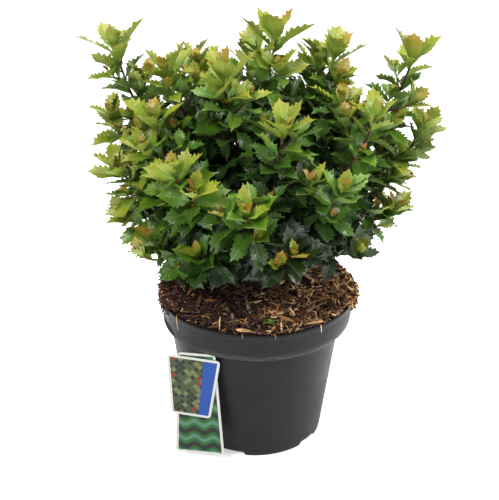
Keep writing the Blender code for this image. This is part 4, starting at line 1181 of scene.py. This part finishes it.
# Chips heaped on the rim at both sides: each lies along the heap's outline or round the rim, or between the
# two, and thinner towards the ends of the arc
def heapChips(heap):
    count = heap["count"]
    arc = dice.uniform(-1, 1, count)
    azimuth = np.radians((heap["fromDeg"] + heap["toDeg"]) / 2 + arc * (heap["toDeg"] - heap["fromDeg"]) / 2)
    full = np.clip((1 - np.abs(arc)) * 3, 0.15, 1)
    way = dice.random(count) ** heap["fade"] * (0.35 + 0.65 * full)
    radius, height = onSpillLine(way)
    radius = (radius + heap["out"] * full * np.sin(np.pi * way))[:, None]
    height = (height + heap["up"] * full * (1 - way))[:, None]
    slope = onSpillLine(way + 0.05) - onSpillLine(way - 0.05)
    run, rise = (slope / np.linalg.norm(slope, axis=0))[..., None]
    outward = turned(1.0, 0.0, azimuth)
    around, upward = turned(1.0, 0.0, azimuth + np.pi / 2), np.array([0, 0, 1.0])
    mix = dice.uniform(0, np.pi, count)[:, None]
    normal = upward * run - outward * rise
    direction = unit((outward * run + upward * rise) * np.cos(mix) + around * np.sin(mix)
                     + normal * dice.normal(0, 0.3, (count, 1)))
    normal = squareTo(normal + dice.normal(0, 0.35, (count, 3)), direction)
    lift = normal * dice.uniform(*spillChips["rise"], (count, 1))
    centre = (outward * radius + upward * height + lift) * mm
    length = dice.lognormal(math.log(spillChips["length"]), spillChips["spread"], count)
    length = np.clip(length, *spillChips["limits"]) * mm
    return centre, direction, normal, length, length * dice.uniform(*spillChips["widths"], count)


# Both heaps, and a few single fibres that hang over the skirt
def addSpill():
    parts = [heapChips(heap) for heap in spills.values()]
    azimuth = np.radians(hangers["azimuthsDeg"])
    length, outward = np.array(hangers["lengths"]) * mm, turned(1.0, 0.0, azimuth)
    direction = unit(turned(hangers["slant"], -1.0, azimuth + np.pi / 2))
    centre = turned(hangers["radius"], hangers["top"] - length / 2, azimuth)
    parts.append((centre, direction, outward, length, np.array(hangers["widths"]) * mm))
    centre, direction, normal, length, width = (np.concatenate(rows) for rows in zip(*parts))
    centre[:, 0] += mulch["shift"]
    paint = dealMulch(centre)
    paint[-len(azimuth):] = chipPaints.index("straw")
    chipMesh("mulchSpill", centre, direction, normal, length, width, np.clip(width * 0.5, 0.3 * mm, 1.2 * mm),
             dice.normal(0, 0.1, len(centre)), paint)


strands = {"count": 70, "points": 14, "turns": 0.30, "bend": 0.14, "steps": (0.9, 2.6), "inside": 92 * mm,
           "lifts": (2.0, 3.6), "wave": 0.9, "radii": (0.22, 0.6), "taper": 0.45, "sides": 5}


# Curved root fibres: the heading of each turns at random along it, and its height follows the mulch
def addStrands():
    count, steps = strands["count"], strands["points"]
    start = scatterOnMound(count)
    turn = dice.normal(0, strands["turns"], (count, steps)) + dice.normal(0, strands["bend"], (count, 1))
    heading = dice.uniform(0, 2 * np.pi, (count, 1)) + np.cumsum(turn, axis=1)
    step = dice.uniform(*strands["steps"], (count, 1)) * mm
    x = start[:, :1] + np.cumsum(np.cos(heading) * step, axis=1) - mulch["shift"]
    y = start[:, 1:2] + np.cumsum(np.sin(heading) * step, axis=1)
    drawnIn = np.minimum(1, strands["inside"] / np.maximum(np.hypot(x, y), mm))
    x, y = mulch["shift"] + x * drawnIn, y * drawnIn
    lift = dice.uniform(*strands["lifts"], (count, 1))
    lift = lift + strands["wave"] * np.sin(np.linspace(0, 5, steps) + dice.uniform(0, 6, (count, 1)))
    curves = np.stack([x, y, moundHeight(x, y) + lift * mm], axis=-1)
    radii = dice.uniform(*strands["radii"], (count, 1)) * np.linspace(1, strands["taper"], steps) * mm
    paint = np.repeat(dice.choice(3, (count, 1), p=[0.45, 0.25, 0.30]), steps, axis=1)
    addTubes("mulchStrands", tubeRings(curves, radii, strands["sides"]), curves[:, 0], curves[:, -1],
             [mulchPaint["straw"], mulchPaint["grey"], mulchPaint["brown"]], paint)


# foot of the seedling, and each of its leaves' turn, rise and length in millimetres
sprout = {"foot": (14.5, -81), "above": 4, "leaves": ((15, 0.7, 7.0), (105, 1.1, 6.0), (195, 0.5, 7.5),
                                                      (300, 0.6, 6.5), (60, 2.2, 4.5))}


# A seedling of a few small leaves between the chips at the front
def addSprout():
    foot = np.array([*sprout["foot"], sprout["above"]]) * mm
    foot[2] += moundHeight(foot[0], foot[1])
    rows = []
    for turnDeg, rise, length in sprout["leaves"]:
        along = unit(turned(1.0, rise, math.radians(turnDeg)))
        up = unit(np.array([0, 0, 1]) - along * along[2])
        rows.append({"place": foot, "along": along, "up": up, "length": length * mm, "tuft": -1.0, "pick": 0})
    leafMesh("mulchSprout", rows, [("fresh", "underMid")], 3)


# Pot

pot = {"steps": 240, "ringStep": 6 * mm, "skirtShift": 2.4 * mm, "shiftFrom": 117 * mm, "shiftSpan": 8 * mm,
       "feet": 5, "gapDeg": 22, "gapEdgeDeg": 1.2, "firstGapDeg": -109, "footDepth": 4.6 * mm,
       "footRadius": 50 * mm, "wobbles": (0.35 * mm, 0.2 * mm), "wobbleFrom": 20 * mm, "wobbleSpan": 130 * mm}
# radius and height in millimetres, inside from the floor up to the rim and outside down again to the foot
potInside = np.array([(0.4, 7.0), (62.0, 7.0), (66.0, 11.0), (81.8, 119.5), (81.9, 123.1), (89.7, 123.1),
                      (91.7, 148.0)]) * mm
potOutside = np.array([(91.7, 148.0), (92.4, 150.0), (95.0, 150.0), (95.0, 146.6), (93.9, 145.2),
                       (91.5, 122.4), (90.2, 121.5), (83.6, 121.5), (83.3, 118.0), (67.9, 6.0),
                       (67.1, 1.2), (65.6, 0.0), (55.6, 0.0), (54.6, 5.0), (21.0, 5.0), (20.0, 0.0),
                       (0.4, 0.0)]) * mm


# An outline with each inner corner replaced by an arc-like blend of the given radius
def roundCorner(points, radius, steps=5):
    rounded = [points[0]]
    for before, corner, after in zip(points, points[1:], points[2:]):
        back = unit(before - corner) * min(radius, np.linalg.norm(before - corner) * 0.45)
        on = unit(after - corner) * min(radius, np.linalg.norm(after - corner) * 0.45)
        for share in np.linspace(0, 1, steps):
            rounded.append(corner + back * (1 - share) ** 2 + on * share ** 2)
    rounded.append(points[-1])
    return np.array(rounded)


# A profile of radius and height carried round the axis, with more rings down the long walls. The foot ring
# lifts at its gaps, the wall wobbles by a few tenths of a millimetre, and the skirt is pushed to one side
def addPot():
    profile = np.concatenate([roundCorner(potInside, 1.2 * mm)[:-1], roundCorner(potOutside, 0.9 * mm)])
    dense = [profile[:1]]
    for start, stop in zip(profile[:-1], profile[1:]):
        pieces = max(int(np.linalg.norm(stop - start) / pot["ringStep"]), 1)
        dense.append(start + (stop - start) * (np.arange(1, pieces + 1) / pieces)[:, None])
    radius, height = np.hsplit(np.concatenate(dense), 2)
    angle = np.linspace(0, 2 * np.pi, pot["steps"], endpoint=False)
    gap = np.zeros(pot["steps"])
    for index in range(pot["feet"]):
        middle = pot["firstGapDeg"] + index * 360 / pot["feet"]
        away = np.abs((np.degrees(angle) - middle + 180) % 360 - 180)
        gap = np.maximum(gap, np.clip((pot["gapDeg"] / 2 - away) / pot["gapEdgeDeg"], 0, 1))
    low = (radius > pot["footRadius"]) & (height < pot["footDepth"])
    height = np.where(low, height + (pot["footDepth"] - height) * gap, height)
    wobble = pot["wobbles"][0] * np.sin(angle * 3 + 0.6) + pot["wobbles"][1] * np.sin(angle * 5 + 2.0)
    share = np.clip((height - pot["wobbleFrom"]) / pot["wobbleSpan"], 0, 1)
    pushed = pot["skirtShift"] * np.clip((height - pot["shiftFrom"]) / pot["shiftSpan"], 0, 1)
    rings = turned(radius + wobble * share * (radius > pot["footRadius"]), height, angle, pushed)
    shell = addTubes("nurseryPot", rings[None], np.array([[0, 0, potInside[0, 1]]]), np.zeros((1, 3)),
                     [potMaterial()], None, 38.0, True)
    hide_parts("pot")


addPot()
addMound()
addMulch()
addSpill()
addStrands()
addSprout()

# Labels: two thin cards, hung in front of the wall from under the skirt, printed with nothing legible

cards = {
    "azimuthDeg": -100, "thick": 0.45 * mm, "corner": 3.5 * mm, "border": 2.4 * mm, "rows": 24, "columns": 15,
    "label_back": {"piece": "labelBack", "top": 121.2, "height": 110.7, "topWidth": 36, "footWidth": 48,
                   "side": -40, "tiltDeg": 0.8, "distance": 84.12, "stripe": 0},
    "label_front": {"piece": "labelFront", "top": 117, "height": 64, "topWidth": 51, "footWidth": 38,
                    "side": -42.4, "tiltDeg": -3.5, "distance": 85.02, "stripe": 4},
}
cardWhite = cardMaterial("card_white", plainPrint, (182, 182, 178))
cardBlue = cardMaterial("card_blue", plainPrint, (4, 60, 136))
cardPrints = {
    "label_front": cardMaterial("card_lozenges", lozengePrint, 0.62,
                                ((14, 26, 14), (44, 62, 28), (92, 98, 58)), (112, 22, 18), (62, 70, 44)),
    "label_back": cardMaterial("card_waves", wavePrint, 0.85, ((8, 24, 12), (24, 78, 24), (64, 106, 82))),
}


# A card as a grid: rows down it, columns across, drawn in at the rounded corners; both faces and the rim. Its
# map runs in centimetres, across and up. A blue stripe may take the last few columns inside the border
def addCard(name):
    spec = cards[name]
    height = spec["height"] * mm
    border, corner, thick = cards["border"], cards["corner"], cards["thick"]
    bend = corner * (1 - np.cos(np.linspace(0, np.pi / 2, 6)))
    rows = np.concatenate([bend, [border], np.linspace(corner + mm, height - corner - mm, cards["rows"]),
                           [height - border], height - bend])
    rows = np.unique(np.round(rows, 7))[:, None]
    half = (spec["topWidth"] + (spec["footWidth"] - spec["topWidth"]) * rows / height) * mm / 2
    toCorner = np.clip(corner - np.minimum(rows, height - rows), 0, None)
    edge = half - corner + np.sqrt(np.clip(corner ** 2 - toCorner ** 2, 0, None))
    inner = np.minimum(half - border, edge - 0.3 * mm)
    across = np.concatenate([-edge, inner * np.linspace(-1, 1, cards["columns"]), edge], axis=1)
    tilt, angle = math.radians(spec["tiltDeg"]), math.radians(cards["azimuthDeg"])
    u = across * math.cos(tilt) + rows * math.sin(tilt) + spec["side"] * mm
    v = spec["top"] * mm + across * math.sin(tilt) - rows * math.cos(tilt)
    outward, sideways = turned(1.0, 0.0, angle), turned(1.0, 0.0, angle + math.pi / 2)
    behind = spec["distance"] * mm
    points = np.concatenate([(outward * depth + sideways * u[..., None] + np.array([0, 0, 1]) * v[..., None])
                             .reshape(-1, 3) for depth in (behind + thick, behind)])
    count, columns = across.shape
    size = count * columns
    faces = gridFaces(count, columns, False)[:, ::-1]
    rim = np.concatenate([np.arange(columns), np.arange(1, count) * columns + columns - 1,
                          (count - 1) * columns + np.arange(columns - 2, -1, -1),
                          np.arange(count - 2, 0, -1) * columns])
    following = np.roll(rim, -1)
    sides = np.stack([rim, following, following + size, rim + size], axis=1)
    row, column = (rows[:-1] + rows[1:]) / 2, np.arange(columns - 1)[None]
    onEdge = (column == 0) | (column == columns - 2) | (row < border) | (row > height - border)
    paint = np.where(onEdge, 0, np.where(column > columns - 3 - spec["stripe"], 2, 1)).ravel()
    paint = np.concatenate([paint, np.zeros(len(faces) + len(sides))])
    down = np.broadcast_to(rows, across.shape)
    uv = np.tile(np.stack([across, -down], axis=-1).reshape(-1, 2) * 100, (2, 1))
    card = addPiece(spec["piece"], points, [faces, faces[:, ::-1] + size, sides],
                    [cardWhite, cardPrints[name], cardBlue], paint, uv, 40.0)
    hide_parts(name)


addCard("label_back")
addCard("label_front")


def addFloor():
    mesh = bpy.data.meshes.new("floor")
    reach = 6.0
    mesh.from_pydata([(-reach, -reach, 0), (reach, -reach, 0), (reach, reach, 0), (-reach, reach, 0)], [],
                     [(0, 1, 2, 3)])
    material, _, shader = newMaterial("floor_paper", 0.9, 0.1)
    shader["Base Color"].default_value = (0.92, 0.92, 0.92, 1)
    shader["Emission Color"].default_value = (1, 1, 1, 1)
    shader["Emission Strength"].default_value = lightSetup["floorGlow"]
    mesh.materials.append(material)
    addObject("floor", mesh)


addFloor()
addCamera()
addLights()
bpy.context.scene.view_settings.view_transform = "Standard"
